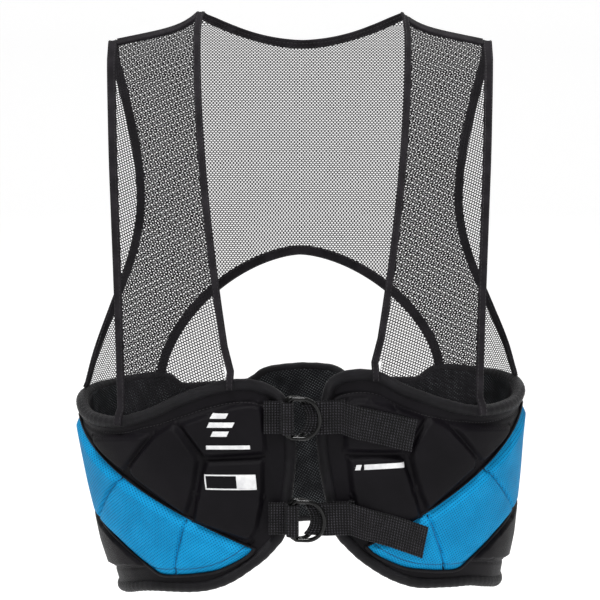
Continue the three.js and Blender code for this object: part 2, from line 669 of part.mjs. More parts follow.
// Arch tape: over the open back from belt to belt
const archAt = (share) => {
  const angle = (Math.PI / 2) * share;
  const power = 2 / ARCH_ROUNDNESS;
  return [ARCH_HALF_WIDTH * Math.cos(angle) ** power, ARCH_RISE * Math.sin(angle) ** power];
};
const ARCH_STEPS = 11;
const archFoot = footPlace(-ARCH_HALF_WIDTH, "back", ROLL_SEAT);
const archLow = rollHeight(archFoot[0]) + ROLL_SEAT;
function archPlace(i) {
  const [x, rise] = archAt(Math.min(i, 2 * ARCH_STEPS - i) / ARCH_STEPS);
  const side = i < ARCH_STEPS ? -1 : 1;
  const turn = turnOf(side * Math.max(x, 0.01), archLow + rise, "back");
  return [turn > 0 ? turn - FULL_TURN : turn, archLow + rise];
}
const archPlaces = Array.from({ length: 2 * ARCH_STEPS + 1 }, (_, i) => archPlace(i));
addSweep("arch_binding", stations(archPlaces.map((place) => ({ place }))),
  () => tapeOutline(ARCH_TAPE_WIDTH), TAPE);

// Shoulder seam tapes, folded over each shoulder between the edge tapes
function addShoulderSeam(name, side) {
  const inner = NECK_HALF + FRONT_TAPE_WIDTH / 2 + 3 * GAP;
  const outer = SHOULDER_HALF - ARMHOLE_TAPE_WIDTH / 2 - GAP;
  const reach = THREE.MathUtils.radToDeg(Math.acos(1 - SEAM_TAPE_DROP / SHOULDER_ROUND));
  const across = [-1, -0.66, -0.33, 0.33, 0.66, 1].map((share) => share * reach);
  const along = Array.from({ length: 7 }, (_, i) => lerp(inner, outer, i / 6));
  const grid = along.map((x) => across.map((degrees) => {
    const shift = NECK_SHIFT * (1 - (x - inner) / (outer - inner));
    return overShoulder(side * x, shift, degrees);
  }));
  addSheet(name, grid, -TAPE_WALL / 2, TAPE_WALL / 2, TAPE);
}
addShoulderSeam("shoulder_seam_left", -1);
addShoulderSeam("shoulder_seam_right", 1);

// Net of a front strip, held between its tapes, the shoulder seam and the roll
const SEAM_EDGE = SEAM_TAPE_DROP + 1.2;
function addFrontNet(name, side) {
  const outer = armholes[side < 0 ? "left" : "right"].filter((spot) => spot.part === "front")
    .map((spot) => slide(spot.place, spot.side, side * (ARMHOLE_TAPE_WIDTH / 2 + NET_SEAT)));
  const own = neck.filter((spot) => spot.part === "front" && spot.place[0] * side > 0);
  const inner = own.map((spot) => slide(spot.place, spot.side, FRONT_TAPE_WIDTH / 2 + NET_SEAT));
  if (side > 0) inner.reverse();
  const seamAt = (place) => {
    const x = formPoint(place).x;
    const height = seamHeight(x) - SEAM_EDGE;
    return [turnOf(x, height, "front"), height];
  };
  const rollAt = (place) => footPlace(formPoint(place).x, "front", ROLL_SEAT);
  const footAt = (edgeAt, width) => footPlace(
    footX(side, edgeAt) + side * (width / 2 + NET_SEAT), "front", ROLL_SEAT);
  const columns = 6;
  const first = [footAt(stripInner, FRONT_TAPE_WIDTH), ...inner, seamAt(inner[STRIP_STEPS - 1])];
  const last = [footAt(stripOuter, -ARMHOLE_TAPE_WIDTH), ...outer, seamAt(outer[STRIP_STEPS - 1])];
  const run = (fit, a, b) => Array.from({ length: columns + 1 }, (_, j) => {
    const share = j / columns;
    return fit([lerp(a[0], b[0], share), lerp(a[1], b[1], share)]);
  });
  const bottom = run(rollAt, first[0], last[0]);
  const end = first.length - 1;
  const top = run(seamAt, first[end], last[end]);
  addSheet(name, fillOutline(bottom, top, first, last), -NET_WALL / 2, NET_WALL / 2, NET);
}
addFrontNet("front_net_left", -1);
addFrontNet("front_net_right", 1);

// Net of the back: one sheet from armhole to armhole, above the arch
function addBackNet() {
  const toLeft = ([turn, height]) => [turn > 0 ? turn - FULL_TURN : turn, height];
  const edge = (side) => armholes[side < 0 ? "left" : "right"]
    .filter((spot) => spot.part === "back")
    .map((spot) => toLeft(slide(spot.place, spot.side, side * (ARMHOLE_TAPE_WIDTH / 2 + NET_SEAT))));
  const seamAt = (x) => {
    const height = seamHeight(x) - SEAM_EDGE;
    return toLeft([turnOf(x, height, "back"), height]);
  };
  const seamRun = (side) => [0.97, 0.83, 0.67, 0.5, 0.33, 0.17].map((share) => {
    const outer = SHOULDER_HALF - ARMHOLE_TAPE_WIDTH / 2 - 2 * GAP;
    return seamAt(side * lerp(NECK_HALF + NECK_TAPE_WIDTH, outer, share) + NECK_SHIFT * (1 - share));
  });
  const neckBack = neck.filter((spot) => spot.part === "back")
    .map((spot) => toLeft(slide(spot.place, spot.side, NECK_TAPE_WIDTH / 2 + NET_SEAT)));
  const top = [...seamRun(-1), ...neckBack, ...seamRun(1).reverse()];
  const rollAt = (turn) => [turn, rollHeight(turn < -180 ? turn + FULL_TURN : turn) + ROLL_SEAT];
  const archIn = inset(archPlaces, -(ARCH_TAPE_WIDTH / 2 + NET_SEAT));
  const [left, right] = [edge(-1), edge(1)];
  const foot = left[left.length - 1][0];
  const far = right[right.length - 1][0];
  const archOuter = archIn[0][0];
  const archFar = archIn[archIn.length - 1][0];
  const legs = [0, 0.5, 1];
  const bottom = [
    ...legs.map((share) => rollAt(lerp(foot, archOuter, share))),
    ...archIn.slice(1, -1),
    ...[...legs].reverse().map((share) => rollAt(lerp(far, archFar, share))),
  ];
  left.unshift(top[0]);
  right.unshift(top[top.length - 1]);
  left[left.length - 1] = bottom[0];
  right[right.length - 1] = bottom[bottom.length - 1];
  addSheet("back_net", fillOutline(top, bottom, left, right), -NET_WALL / 2, NET_WALL / 2, NET);
}
addBackNet();

// The front closure. Each of its two rows is laid out flat at the opening:
// x runs along the belt, up along its height and out from the draped form.
const RING_HALF = WEBBING_WIDTH / 2 + RING_CLEAR + RING_WIRE;
const RUN_OUT = ROLL_OFFSET + ROLL_RADIUS + 2 * GAP + WEBBING_WALL / 2;
const WRAP = RING_WIRE + 2.5 * GAP + WEBBING_WALL / 2;
const INNER_RING = { bar: -10.5, straight: -4, bow: 8.3, barOut: RUN_OUT + WRAP, bowOut: RUN_OUT + WRAP };
const OUTER_RING = { bar: -8.5, straight: 1.5, bow: 15.3,
  barOut: INNER_RING.barOut + 2 * RING_WIRE + 3 * GAP,
  bowOut: INNER_RING.barOut + 2 * WRAP + GAP };

function closureFrame(height) {
  const { here, normal } = formFrame([0, height]);
  const along = new THREE.Vector3(1, 0, 0);
  const up = new THREE.Vector3().crossVectors(normal, along).normalize();
  const at = (x, rise, out) => here.clone().addScaledVector(along, x)
    .addScaledVector(up, rise).addScaledVector(normal, out);
  return { at, normal };
}

// Where a ring's bow lies at a height above its middle
const bowAt = (ring, rise) => ring.straight
  + (ring.bow - ring.straight) * Math.sqrt(1 - (rise / RING_HALF) ** 2);

// D-ring: a straight bar in the webbing loop, two short arms and a round bow
function addRing(name, height, ring) {
  const { at, normal } = closureFrame(height);
  const corner = 3;
  const flat = [[ring.bar, RING_HALF - corner], [ring.bar + 0.3 * corner, RING_HALF - 0.3 * corner],
    [ring.bar + corner, RING_HALF]];
  const bow = Array.from({ length: 11 }, (_, i) => {
    const angle = Math.PI * (0.5 - i / 10);
    return [ring.straight + (ring.bow - ring.straight) * Math.cos(angle), RING_HALF * Math.sin(angle)];
  });
  const loop = [...flat, ...bow, ...[...flat].reverse().map(([x, rise]) => [x, -rise])];
  const outAt = (x) => lerp(ring.barOut, ring.bowOut, (x - ring.bar) / (ring.bow - ring.bar));
  const spots = loop.map(([x, rise]) => ({ here: at(x, rise, outAt(x)) }));
  spots.forEach((spot, i) => {
    const after = spots[(i + 1) % spots.length].here;
    const before = spots[(i + spots.length - 1) % spots.length].here;
    const toward = after.clone().sub(before).normalize();
    spot.side = new THREE.Vector3().crossVectors(normal, toward).normalize();
    spot.up = new THREE.Vector3().crossVectors(toward, spot.side);
  });
  addSweep(name, spots, () => roundOutline(RING_WIRE, 6), PLASTIC, true);
}

// Webbing loop: sewn flat on the left panel and folded round both rings' bars
function addLoop(name, height) {
  const { at } = closureFrame(height);
  const low = RUN_OUT - WEBBING_WALL / 2;
  const hole = { left: INNER_RING.bar - RING_WIRE - 2 * GAP, right: OUTER_RING.bar + RING_WIRE + 2 * GAP,
    low: low + WEBBING_WALL, high: OUTER_RING.barOut + RING_WIRE + GAP };
  const ringRound = (path, grow, radius) => {
    const [l, r, b, t] = [hole.left - grow, hole.right + grow, hole.low - grow, hole.high + grow];
    path.absarc(r - radius, b + radius, radius, -Math.PI / 2, 0);
    path.absarc(r - radius, t - radius, radius, 0, Math.PI / 2);
    path.absarc(l + radius, t - radius, radius, Math.PI / 2, Math.PI);
    return { l, b };
  };
  const shape = new THREE.Shape();
    const ply = WEBBING_WALL;
  shape.moveTo(LOOP_TAB_END, low);
  const { l } = ringRound(shape, ply, 3.4);
  shape.lineTo(l, low + 2 * ply + 2);
  shape.lineTo(l - 1.5, low + 2 * ply);
  shape.lineTo(LOOP_TAB_END, low + 2 * ply);
  const inside = new THREE.Path();
  const start = ringRound(inside, 0, 1.8);
  inside.lineTo(start.l, start.b);
  shape.holes.push(inside);
  const depth = WEBBING_WIDTH;
  const solid = new THREE.ExtrudeGeometry(shape, { depth, bevelEnabled: false, curveSegments: 3 });
  solid.deleteAttribute("normal");
  solid.deleteAttribute("uv");
  const merged = mergeVertices(solid, 1e-4);
  const spots = merged.attributes.position;
  const points = Array.from({ length: spots.count }, (_, i) => at(
    spots.getX(i), spots.getZ(i) - depth / 2, spots.getY(i)));
  const index = Array.from(merged.index.array);
  const faces = Array.from({ length: index.length / 3 }, (_, i) => index.slice(3 * i, 3 * i + 3));
  addBody(name, points, faces, WEBBING);
}

// Strap: sewn to the right panel, under both bows, round the inner ring's bow,
// back under the outer ring's bow and out over the right panel as a loose tail
function addStrap(name, height, edgeTurn, sewn, tail) {
  const { at } = closureFrame(height);
  const panel = SHELL_OUTER + GAP + WEBBING_WALL / 2;
  const rest = SHELL_OUTER + PAD_SEAT + PAD_RISE + 2 * GAP + WEBBING_WALL / 2;
  const over = RUN_OUT + 2 * WRAP;
  const rollEnd = arcAt(panelTurn(edgeTurn, 1)) + EDGE_INSET + 1;
  const anchor = rollEnd + sewn;
  const run = [
    { x: anchor, out: panel }, { x: rollEnd + 0.44 * ROLL_RADIUS, out: panel }, { x: rollEnd, out: RUN_OUT },
    { x: rollEnd - 1.2 * ROLL_RADIUS, out: RUN_OUT }, { x: rollEnd - 2.2 * ROLL_RADIUS, out: RUN_OUT },
    { bow: 0.5, out: RUN_OUT }, { bow: -0.75, out: RUN_OUT + 0.35 * WRAP }, { bow: -1, out: RUN_OUT + WRAP },
    { bow: -0.75, out: RUN_OUT + 1.65 * WRAP }, { bow: 0.5, out: over },
    { x: OUTER_RING.bow, out: over }, { x: rollEnd, out: over },
    ...[0.12, 0.28, 0.46, 0.64, 0.82, 1].map((share) => ({
      x: lerp(rollEnd, tail, share), out: lerp(over, rest, clamp(4 * share, 0, 1)),
      drop: TAIL_SLOPE * (tail - rollEnd) * share + TAIL_SAG * clamp(4 * share, 0, 1),
      lean: TAIL_SLOPE * clamp(3 * share, 0, 1) })),
  ];
  const across = [-1, -0.6, 0, 0.6, 1].map((share) => share * WEBBING_WIDTH / 2);
  const grid = run.map(({ x, bow = 0, out, drop = 0, lean = 0 }) => across.map((w) => {
    const held = w * BOW_SQUEEZE;
    const steep = (bowAt(INNER_RING, held + 0.1) - bowAt(INNER_RING, held - 0.1)) / 0.2;
    const round = bowAt(INNER_RING, held) + bow * WRAP * Math.hypot(1, steep);
    const rise = w / Math.hypot(1, lean);
    return x === undefined ? at(round, held, out)
      : onForm([turnAt(x + rise * lean), height - drop + rise], out);
  }));
  const layer = (offset) => grid.map((row, i) => row.map((point, j) => {
    const along = grid[Math.min(i + 1, grid.length - 1)][j].clone().sub(grid[Math.max(i - 1, 0)][j]);
    const over2 = row[Math.min(j + 1, 4)].clone().sub(row[Math.max(j - 1, 0)]);
    return point.clone().addScaledVector(along.cross(over2).normalize(), offset);
  }));
  addLayers(name, layer(-WEBBING_WALL / 2), layer(WEBBING_WALL / 2), WEBBING);
}

const turnAtFoot = readTable(BOTTOM, "fall", "turn",
  (BELT_TOP - LOWER_STRAP_HEIGHT + WEBBING_WIDTH / 2) / BELT_HEIGHT);
const CLOSURES = [
  { row: "upper", height: UPPER_STRAP_HEIGHT, edge: OPENING_TURN, sewn: UPPER_SEWN, tail: UPPER_TAIL },
  { row: "lower", height: LOWER_STRAP_HEIGHT, edge: turnAtFoot, sewn: LOWER_SEWN, tail: LOWER_TAIL },
];
for (const { row, height, edge, sewn, tail } of CLOSURES) {
  addLoop(`ring_loop_${row}`, height);
  addRing(`d_ring_inner_${row}`, height, INNER_RING);
  addRing(`d_ring_outer_${row}`, height, OUTER_RING);
  addStrap(`strap_${row}`, height, edge, sewn, tail);
}

export default new THREE.Group().add(...meshes);
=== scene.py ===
# Rib protector: a mesh vest that carries a padded belt, closed at the front
# with webbing straps through D-rings. Metres, +Z up, -Y is the wearer's front.

import math

import bpy
import numpy as np
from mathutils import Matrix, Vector


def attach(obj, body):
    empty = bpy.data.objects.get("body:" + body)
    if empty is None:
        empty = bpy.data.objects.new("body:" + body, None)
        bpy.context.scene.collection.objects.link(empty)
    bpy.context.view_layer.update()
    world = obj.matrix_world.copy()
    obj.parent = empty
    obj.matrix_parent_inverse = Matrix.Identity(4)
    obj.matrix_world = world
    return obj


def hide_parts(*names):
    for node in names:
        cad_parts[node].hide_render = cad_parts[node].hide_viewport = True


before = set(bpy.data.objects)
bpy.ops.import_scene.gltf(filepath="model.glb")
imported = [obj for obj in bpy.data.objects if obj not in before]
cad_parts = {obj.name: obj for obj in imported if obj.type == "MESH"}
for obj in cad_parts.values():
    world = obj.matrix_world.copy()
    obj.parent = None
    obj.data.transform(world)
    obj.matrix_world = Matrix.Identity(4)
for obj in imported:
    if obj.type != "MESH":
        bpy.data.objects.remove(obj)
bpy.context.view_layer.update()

# ------------------------------
# Camera: level with the chest and a long way off, as a catalogue picture is
# taken, so that the belt's far side shows a little above its near side.
LOOK_AT = Vector((0, 0, -0.222))
CAMERA_DISTANCE = 1.9
CAMERA_RISE = math.radians(6.5)


def added(name, data):
    piece = bpy.data.objects.new(name, data)
    bpy.context.scene.collection.objects.link(piece)
    return piece


camera = added("camera", bpy.data.cameras.new("camera"))
camera.data.sensor_width = 36
camera.data.lens = 139.5
toward_camera = Vector((0, -math.cos(CAMERA_RISE), math.sin(CAMERA_RISE)))
camera.location = LOOK_AT + CAMERA_DISTANCE * toward_camera
camera.rotation_euler = toward_camera.to_track_quat("Z", "Y").to_euler()
bpy.context.scene.camera = camera

# ------------------------------
# Studio: a white sweep under and far behind the vest, a soft light above and a
# little left of the camera, a weaker one from the right and one from behind.
SWEEP = ((-7, -0.62), (3.6, -0.62), (4.5, -0.5), (5.1, -0.05), (5.3, 0.7), (5.3, 6))
SWEEP_HALF = 9
WHITE = (1, 1, 1, 1)


def new_object(name, vertices, faces, edges=()):
    mesh = bpy.data.meshes.new(name)
    mesh.from_pydata([tuple(v) for v in vertices], edges, [tuple(f) for f in faces])
    mesh.update()
    return added(name, mesh)


def new_look(name, roughness, gloss=0.5, more=()):
    """A material whose uniform numbers stand on its shader's own sockets."""
    look = bpy.data.materials.new(name)
    look.use_nodes = True
    numbers = {"Roughness": roughness, "Specular IOR Level": gloss, **dict(more)}
    for label, value in numbers.items():
        look.node_tree.nodes["Principled BSDF"].inputs[label].default_value = value
    return look


sweep_points = [(side * SWEEP_HALF, y, z) for y, z in SWEEP for side in (-1, 1)]
sweep_faces = [(2 * i, 2 * i + 1, 2 * i + 3, 2 * i + 2) for i in range(len(SWEEP) - 1)]
floor = new_object("studio_floor", sweep_points, sweep_faces)
floor.data.shade_smooth()
floor_colours = {"Base Color": (0.5, 0.5, 0.5, 1), "Emission Color": WHITE, "Emission Strength": 0.7}
floor.data.materials.append(new_look("studio_white", 0.9, more=floor_colours))

for name, place, size, power in (
    ("key_light", (-0.5, -1.3, 2.4), 0.9, 92),
    ("front_light", (1.2, -2.4, 0.2), 1.5, 15),
    ("back_light", (0.5, 1.3, 1.4), 1.0, 10),
):
    lamp = added(name, bpy.data.lights.new(name, "AREA"))
    lamp.data.size = size
    lamp.data.energy = power
    lamp.location = place
    lamp.rotation_euler = (Vector(place) - LOOK_AT).to_track_quat("Z", "Y").to_euler()
world = bpy.data.worlds.new("studio_air")
world.use_nodes = True
background = world.node_tree.nodes["Background"]
background.inputs["Color"].default_value = WHITE
background.inputs["Strength"].default_value = 0.22
bpy.context.scene.world = world
bpy.context.scene.view_settings.view_transform = "Standard"

# ------------------------------
# Belt panels: foam between a smooth black face cloth and a lining, cut as two
# front wings and a back. They are draped on the form that the whole vest
# follows, a slightly squared oval that narrows and swings a little lower down.
HALF_WIDTH, HALF_DEPTH, DROP = 0.192, 0.106, 0.459
SQUARENESS = 2.25
SWAY = 0.008
TILT, TILT_START, TILT_REACH, TILT_FADE = 0.026, 0.15, 0.12, 0.55
SECTIONS = {
    "down": [-0.03, 0, 0.03, 0.11, 0.24, 0.435, 0.63, 0.72, 0.87, 1],
    "half": [0.97, 0.98, 0.99, 1, 0.99, 0.96, 0.938, 0.918, 0.865, 0.798],
    "deep": [0.08, 0.17, 0.31, 0.54, 0.81, 0.97, 1, 1, 0.96, 0.91],
    "sway": [0, 0, 0, 0, 0, 0, 0, 0.1, 0.6, 1],
}
SHOULDER_HALF, NECK_HALF, NECK_SHIFT = 0.151, 0.082, 0.002
SEAM_OUTER, SEAM_SLOPE, SEAM_PEAK, SEAM_FADE, SHOULDER_ROUND = -0.0115, 0.014, 0.009, 0.1, 0.014
BELT_TOP, BELT_HEIGHT = -0.3, 0.155
SIDE_SEAM = 97
SIDES = ((-1, "left"), (1, "right"))


def pair(first, second):
    return np.stack(np.broadcast_arrays(first, second), -1)


def lengths(points):
    """Distance along a line of points from its first one."""
    return np.concatenate([[0], np.cumsum(np.linalg.norm(np.diff(points, axis=0), axis=1))])


def ramp(value, start, reach):
    """From 0 at the start to 1 a reach further on."""
    return np.clip((value - start) / reach, 0, 1)


def bell(distance, half):
    return np.exp(-((distance / half) ** 2))


def read_table(table, column, at):
    """Smooth value of a table's column; the table's first column is what it is read by."""
    keys, values = np.array(next(iter(table.values())), float), np.array(table[column], float)
    last = len(keys) - 1
    low, high = np.maximum(np.arange(last + 1) - 1, 0), np.minimum(np.arange(last + 1) + 1, last)
    slope = (values[high] - values[low]) / (keys[high] - keys[low])
    at = np.clip(at, keys[0], keys[-1])
    i = np.clip(np.searchsorted(keys, at, "right") - 1, 0, last - 1)
    span = keys[i + 1] - keys[i]
    t = (at - keys[i]) / span
    return (
        (2 * t**3 - 3 * t**2 + 1) * values[i]
        + (t**3 - 2 * t**2 + t) * span * slope[i]
        + (3 * t**2 - 2 * t**3) * values[i + 1]
        + (t**3 - t**2) * span * slope[i + 1]
    )


def section(height):
    """Half width, half depth and sideways shift of the form at a height."""
    down = -np.asarray(height, float) / DROP
    return [scale * read_table(SECTIONS, column, down)
            for scale, column in ((HALF_WIDTH, "half"), (HALF_DEPTH, "deep"), (SWAY, "sway"))]


def seam_height(x):
    out = ramp(np.abs(x), NECK_HALF, SHOULDER_HALF - NECK_HALF)
    return SEAM_OUTER + SEAM_SLOPE * (1 - out) + SEAM_PEAK * (1 - out) ** 6


def draped(turn, height):
    sine, cosine = np.sin(np.radians(turn)), np.cos(np.radians(turn))
    side = np.sign(sine) * np.abs(sine) ** (2 / SQUARENESS)
    belt = ramp(-height, TILT_START, TILT_REACH)
    low = ramp(-height, -BELT_TOP, BELT_HEIGHT)
    z = height + TILT * belt * (1 - TILT_FADE * low) * side * HALF_WIDTH
    half, _, sway = section(z)
    x = sway + half * side
    seam = seam_height(x)
    drop = np.maximum(seam - z, 0)
    lift = (seam_height(NECK_HALF) - seam) * np.maximum(0, 1 - drop / SEAM_FADE)
    around = ramp(drop, 0, SHOULDER_ROUND)
    ease = np.sqrt(1 - (1 - around) ** 2)
    y = -np.sign(cosine) * np.abs(cosine) ** (2 / SQUARENESS) * section(z + lift)[1] * ease
    return np.stack([x, y, z], -1)


def unit(vectors):
    return vectors / np.maximum(np.linalg.norm(vectors, axis=-1, keepdims=True), 1e-12)


def form_frame(turn, height):
    """Point of the form and the unit normal there. turn: 0 front, 90 right, 180 back."""
    turn, height = np.broadcast_arrays(np.asarray(turn, float), np.asarray(height, float))
    here = draped(turn, height)
    along = draped(turn + 0.02, height) - here
    up = here - draped(turn, height - 0.00002)
    return here, unit(np.cross(along, up))


def on_form(turn, height, out=0.0):
    here, normal = form_frame(turn, height)
    return here + normal * np.broadcast_to(out, here.shape[:-1])[..., None]


def lay(places, out):
    return on_form(places[..., 0], places[..., 1], out)


def arc_table(height):
    turns = np.arange(0, 181.0)
    return turns, lengths(draped(turns, height))


BELT_ARC = arc_table(BELT_TOP - 0.4 * BELT_HEIGHT)


def carried(value, keys, values):
    """Reads a half's table for either side, and on past the back's middle below zero."""
    past = value < -keys[-1]
    near = np.where(past, -2 * keys[-1] - value, value)
    found = np.sign(near) * np.interp(np.abs(near), keys, values)
    return np.where(past, -2 * values[-1] - found, found)


def arc_at(turn, table=BELT_ARC):
    return carried(turn, *table)


def turn_at(arc, table=BELT_ARC):
    return carried(arc, *table[::-1])


def lay_flat(flat, out):
    """Places given as (arc, height), laid on the form."""
    return on_form(turn_at(flat[..., 0]), flat[..., 1], out)


# Middle of the rolled edge above the belt's top line, as shares of the belt's
# height; turn counts from the opening's middle, or from the back's middle.
FRONT_TOP = {
    "turn": [4.6, 6, 8.5, 12, 16, 20, 24, 30, 35, 41, 48, 55, 63, 74, 85, 97],
    "left": [0.077, 0.11, 0.142, 0.159, 0.155, 0.139, 0.116, 0.074, 0.032, -0.006, -0.039, -0.052,
             -0.052, -0.037, 0, 0.018],
    "right": [0.135, 0.168, 0.187, 0.192, 0.177, 0.135, 0.095, 0.052, 0.019, -0.013, -0.037, -0.044,
              -0.042, -0.032, 0, 0.018],
}
BACK_TOP = {
    "turn": [0, 5, 8, 10, 12.5, 20, 31, 33.5, 36, 39, 45, 58, 70, 83],
    "rise": [0.045, 0.035, 0.019, -0.013, -0.037, -0.042, -0.04, -0.025, 0.013, 0.032, 0.037, 0.029,
             0.026, 0.018],
}
BOTTOM = {
    "turn": [4.8, 6.5, 8.6, 11.6, 15.1, 19.3, 24, 30, 41, 52, 62, 75, 92, 112, 132, 152, 166, 180],
    "fall": [0.5, 0.605, 0.66, 0.72, 0.77, 0.82, 0.86, 0.889, 0.905, 0.917, 0.942, 0.975, 0.99, 0.968,
             0.916, 0.846, 0.8, 0.785],
}
OPENING, OPENING_BULGE, BULGE_SKEW, COLUMN_CROWDING = 4.8, 1.8, 1.3, 0.12
CLOSURE_SHIFT, SHIFT_FADE = 1.2, 60
SHELL_OUT, SHELL_IN, BACK_OUT, BACK_IN = 0.002, -0.006, 0.005, -0.004


def front_height(turn, side):
    return BELT_TOP + BELT_HEIGHT * read_table(FRONT_TOP, "left" if side < 0 else "right", turn)


def back_height(turn):
    return BELT_TOP + BELT_HEIGHT * read_table(BACK_TOP, "rise", turn)


def bottom_height(turn):
    return BELT_TOP - BELT_HEIGHT * read_table(BOTTOM, "fall", turn)


def panel_turn(turn, side):
    return side * turn + CLOSURE_SHIFT * (1 - ramp(turn, 0, SHIFT_FADE))


def front_edges(side, columns, rows):
    share = np.linspace(0, 1, columns)
    turn = SIDE_SEAM + (OPENING - SIDE_SEAM) * (share + COLUMN_CROWDING * np.sin(math.pi * share))
    top = pair(panel_turn(turn, side), front_height(turn, side))
    bottom = pair(panel_turn(turn, side), bottom_height(turn))
    down = np.linspace(0, 1, rows)
    inner_turn = OPENING - OPENING_BULGE * np.sin(math.pi * (1 - down) ** BULGE_SKEW)
    inner = pair(panel_turn(inner_turn, side), top[-1, 1] + (bottom[-1, 1] - top[-1, 1]) * down)
    return top, bottom, inner


def fill_outline(top, bottom, start, end):
    v = np.linspace(0, 1, len(start))[:, None, None]
    u = np.linspace(0, 1, len(top))[None, :, None]
    corners = ((1 - u) * (1 - v) * top[0] + u * (1 - v) * top[-1]
               + (1 - u) * v * bottom[0] + u * v * bottom[-1])
    return ((1 - v) * top[None] + v * bottom[None]
            + (1 - u) * start[:, None] + u * end[:, None] - corners)


def give_uv(piece, uv):
    layer = piece.data.uv_layers.new(name="cloth")
    loops = np.empty(len(piece.data.loops), int)
    piece.data.loops.foreach_get("vertex_index", loops)
    layer.data.foreach_set("uv", np.asarray(uv, float).reshape(-1, 2)[loops].ravel())


def slab(name, outer, inner, uv, coarser=1):
    """Closed body between two grids of points; the inner face may have fewer, larger quads."""
    rows, columns = outer.shape[:2]
    index = np.arange(rows * columns).reshape(rows, columns)
    low, kept = inner[::coarser, ::coarser], uv[::coarser, ::coarser]
    under = np.arange(low.shape[0] * low.shape[1]).reshape(low.shape[:2]) + rows * columns

    def quads(grid):
        return np.stack([grid[:-1, :-1], grid[1:, :-1], grid[1:, 1:], grid[:-1, 1:]], -1).reshape(-1, 4)

    def rim(grid):
        return np.concatenate([grid[0], grid[1:, -1], grid[-1, -2::-1], grid[-2:0:-1, 0]])

    top, foot = rim(index), rim(under)
    after = np.roll(foot, -1)
    steps = [np.roll(top, -k)[::coarser] for k in range(coarser + 1)]
    sides = np.stack([*steps, after, foot], -1)
    faces = [*quads(index).tolist(), *quads(under)[:, ::-1].tolist(), *sides.tolist()]
    points = np.concatenate([outer.reshape(-1, 3), low.reshape(-1, 3)])
    a, b, c = outer[:-1, :-1], outer[1:, :-1], outer[1:, 1:]
    # outwards is from the inner grid to the outer one
    if np.sum(np.cross(b - a, c - a) * (outer - inner)[:-1, :-1]) < 0:
        faces = [face[::-1] for face in faces]
    piece = new_object(name, points, faces)
    piece.data.shade_smooth()
    give_uv(piece, np.concatenate([uv.reshape(-1, 2), kept.reshape(-1, 2)]))
    return piece


def enlist(piece, slot, *replaced):
    """Hides the nodes that a piece stands for and lets it ride the root; slot is not used."""
    if replaced:
        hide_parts(*replaced)
    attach(piece, "root")


def dress(piece, look, slot, *replaced):
    piece.data.materials.append(look)
    enlist(piece, slot, *replaced)


def cushion(name, places, outs, dressing, coarser=4):
    """Padded body over a grid of (turn, height), from how far its face and its back stand out."""
    turn, height = places
    face, back = (on_form(turn, height, out) for out in outs)
    piece = slab(name, face, back, pair(arc_at(turn), height), coarser)
    dress(piece, *dressing)


def ripple(turn, height, scale, seed):
    """Slow, soft unevenness of a sewn cloth face, between -1 and 1."""
    a = np.sin(turn * 0.21 * scale + 31 * height * scale + seed)
    b = np.sin(turn * 0.13 * scale - 57 * height * scale + 2.1 * seed)
    c = np.sin(turn * 0.37 * scale + 83 * height * scale + 3.7 * seed)
    return (a + b + 0.7 * c) / 2.7


class Signal:
    """A number in a material's node tree, with arithmetic that adds the nodes for it."""

    def __init__(self, tree, socket):
        self.tree, self.socket = tree, socket

    def through(self, kind, inputs, **settings):
        return Signal(self.tree, node(self.tree, kind, inputs, **settings).outputs[0])

    def combined(self, operation, *other):
        return self.through("ShaderNodeMath", enumerate((self, *other)), operation=operation)

    def __add__(self, other):
        return self.combined("ADD", other)

    def __sub__(self, other):
        return self.combined("SUBTRACT", other)

    def __mul__(self, other):
        return self.combined("MULTIPLY", other)

    def wave(self, pitch):
        return (self * (2 * math.pi / pitch)).combined("SINE")

    def mapped(self, low, high, first=0.0, last=1.0):
        return self.through("ShaderNodeMapRange", {0: self, 1: low, 2: high, 3: first, 4: last})


def node(tree, kind, inputs=(), **settings):
    made = tree.nodes.new(kind)
    for key, value in settings.items():
        setattr(made, key, value)
    for place, value in dict(inputs).items():
        value = value.socket if isinstance(value, Signal) else value
        if isinstance(value, bpy.types.NodeSocket):
            tree.links.new(value, made.inputs[place])
        else:
            made.inputs[place].default_value = value
    return made


def cloth_axes(tree):
    place = node(tree, "ShaderNodeUVMap", uv_map="cloth").outputs[0]
    split = node(tree, "ShaderNodeSeparateXYZ", {0: place})
    return Signal(tree, split.outputs[0]), Signal(tree, split.outputs[1])


def clouds(tree, scale, detail):
    place = node(tree, "ShaderNodeTexCoord").outputs["Object"]
    noise = node(tree, "ShaderNodeTexNoise", {"Scale": scale, "Detail": detail, "Vector": place})
    return Signal(tree, noise.outputs[0])


def mottled(look, dark, light, size, detail=4):
    """A colour that varies softly between two, and the noise behind it."""
    tree = look.node_tree
    noise = clouds(tree, 1 / size, detail)
    shades = node(tree, "ShaderNodeValToRGB", {0: noise})
    for stop, position, colour in zip(shades.color_ramp.elements, (0.35, 0.68), (dark, light)):
        stop.position, stop.color = position, (*colour, 1)
    return shades.outputs[0], noise


def woven(look, dark, light, size):
    """What every cloth is made of: colour, noise and the two directions of its threads."""
    return (*mottled(look, dark, light, size), *cloth_axes(look.node_tree))


def blend(tree, amount, first, second):
    return node(tree, "ShaderNodeMix", {0: amount, 6: first, 7: second}, data_type="RGBA").outputs[2]


def cover(look, colour, height, strength, distance):
    """Links a colour and a relief to a look's shader."""
    tree = look.node_tree
    shader = tree.nodes["Principled BSDF"]
    relief = {"Strength": strength, "Distance": distance, "Height": height}
    tree.links.new(colour, shader.inputs["Base Color"])
    tree.links.new(node(tree, "ShaderNodeBump", relief).outputs[0], shader.inputs["Normal"])
    return look


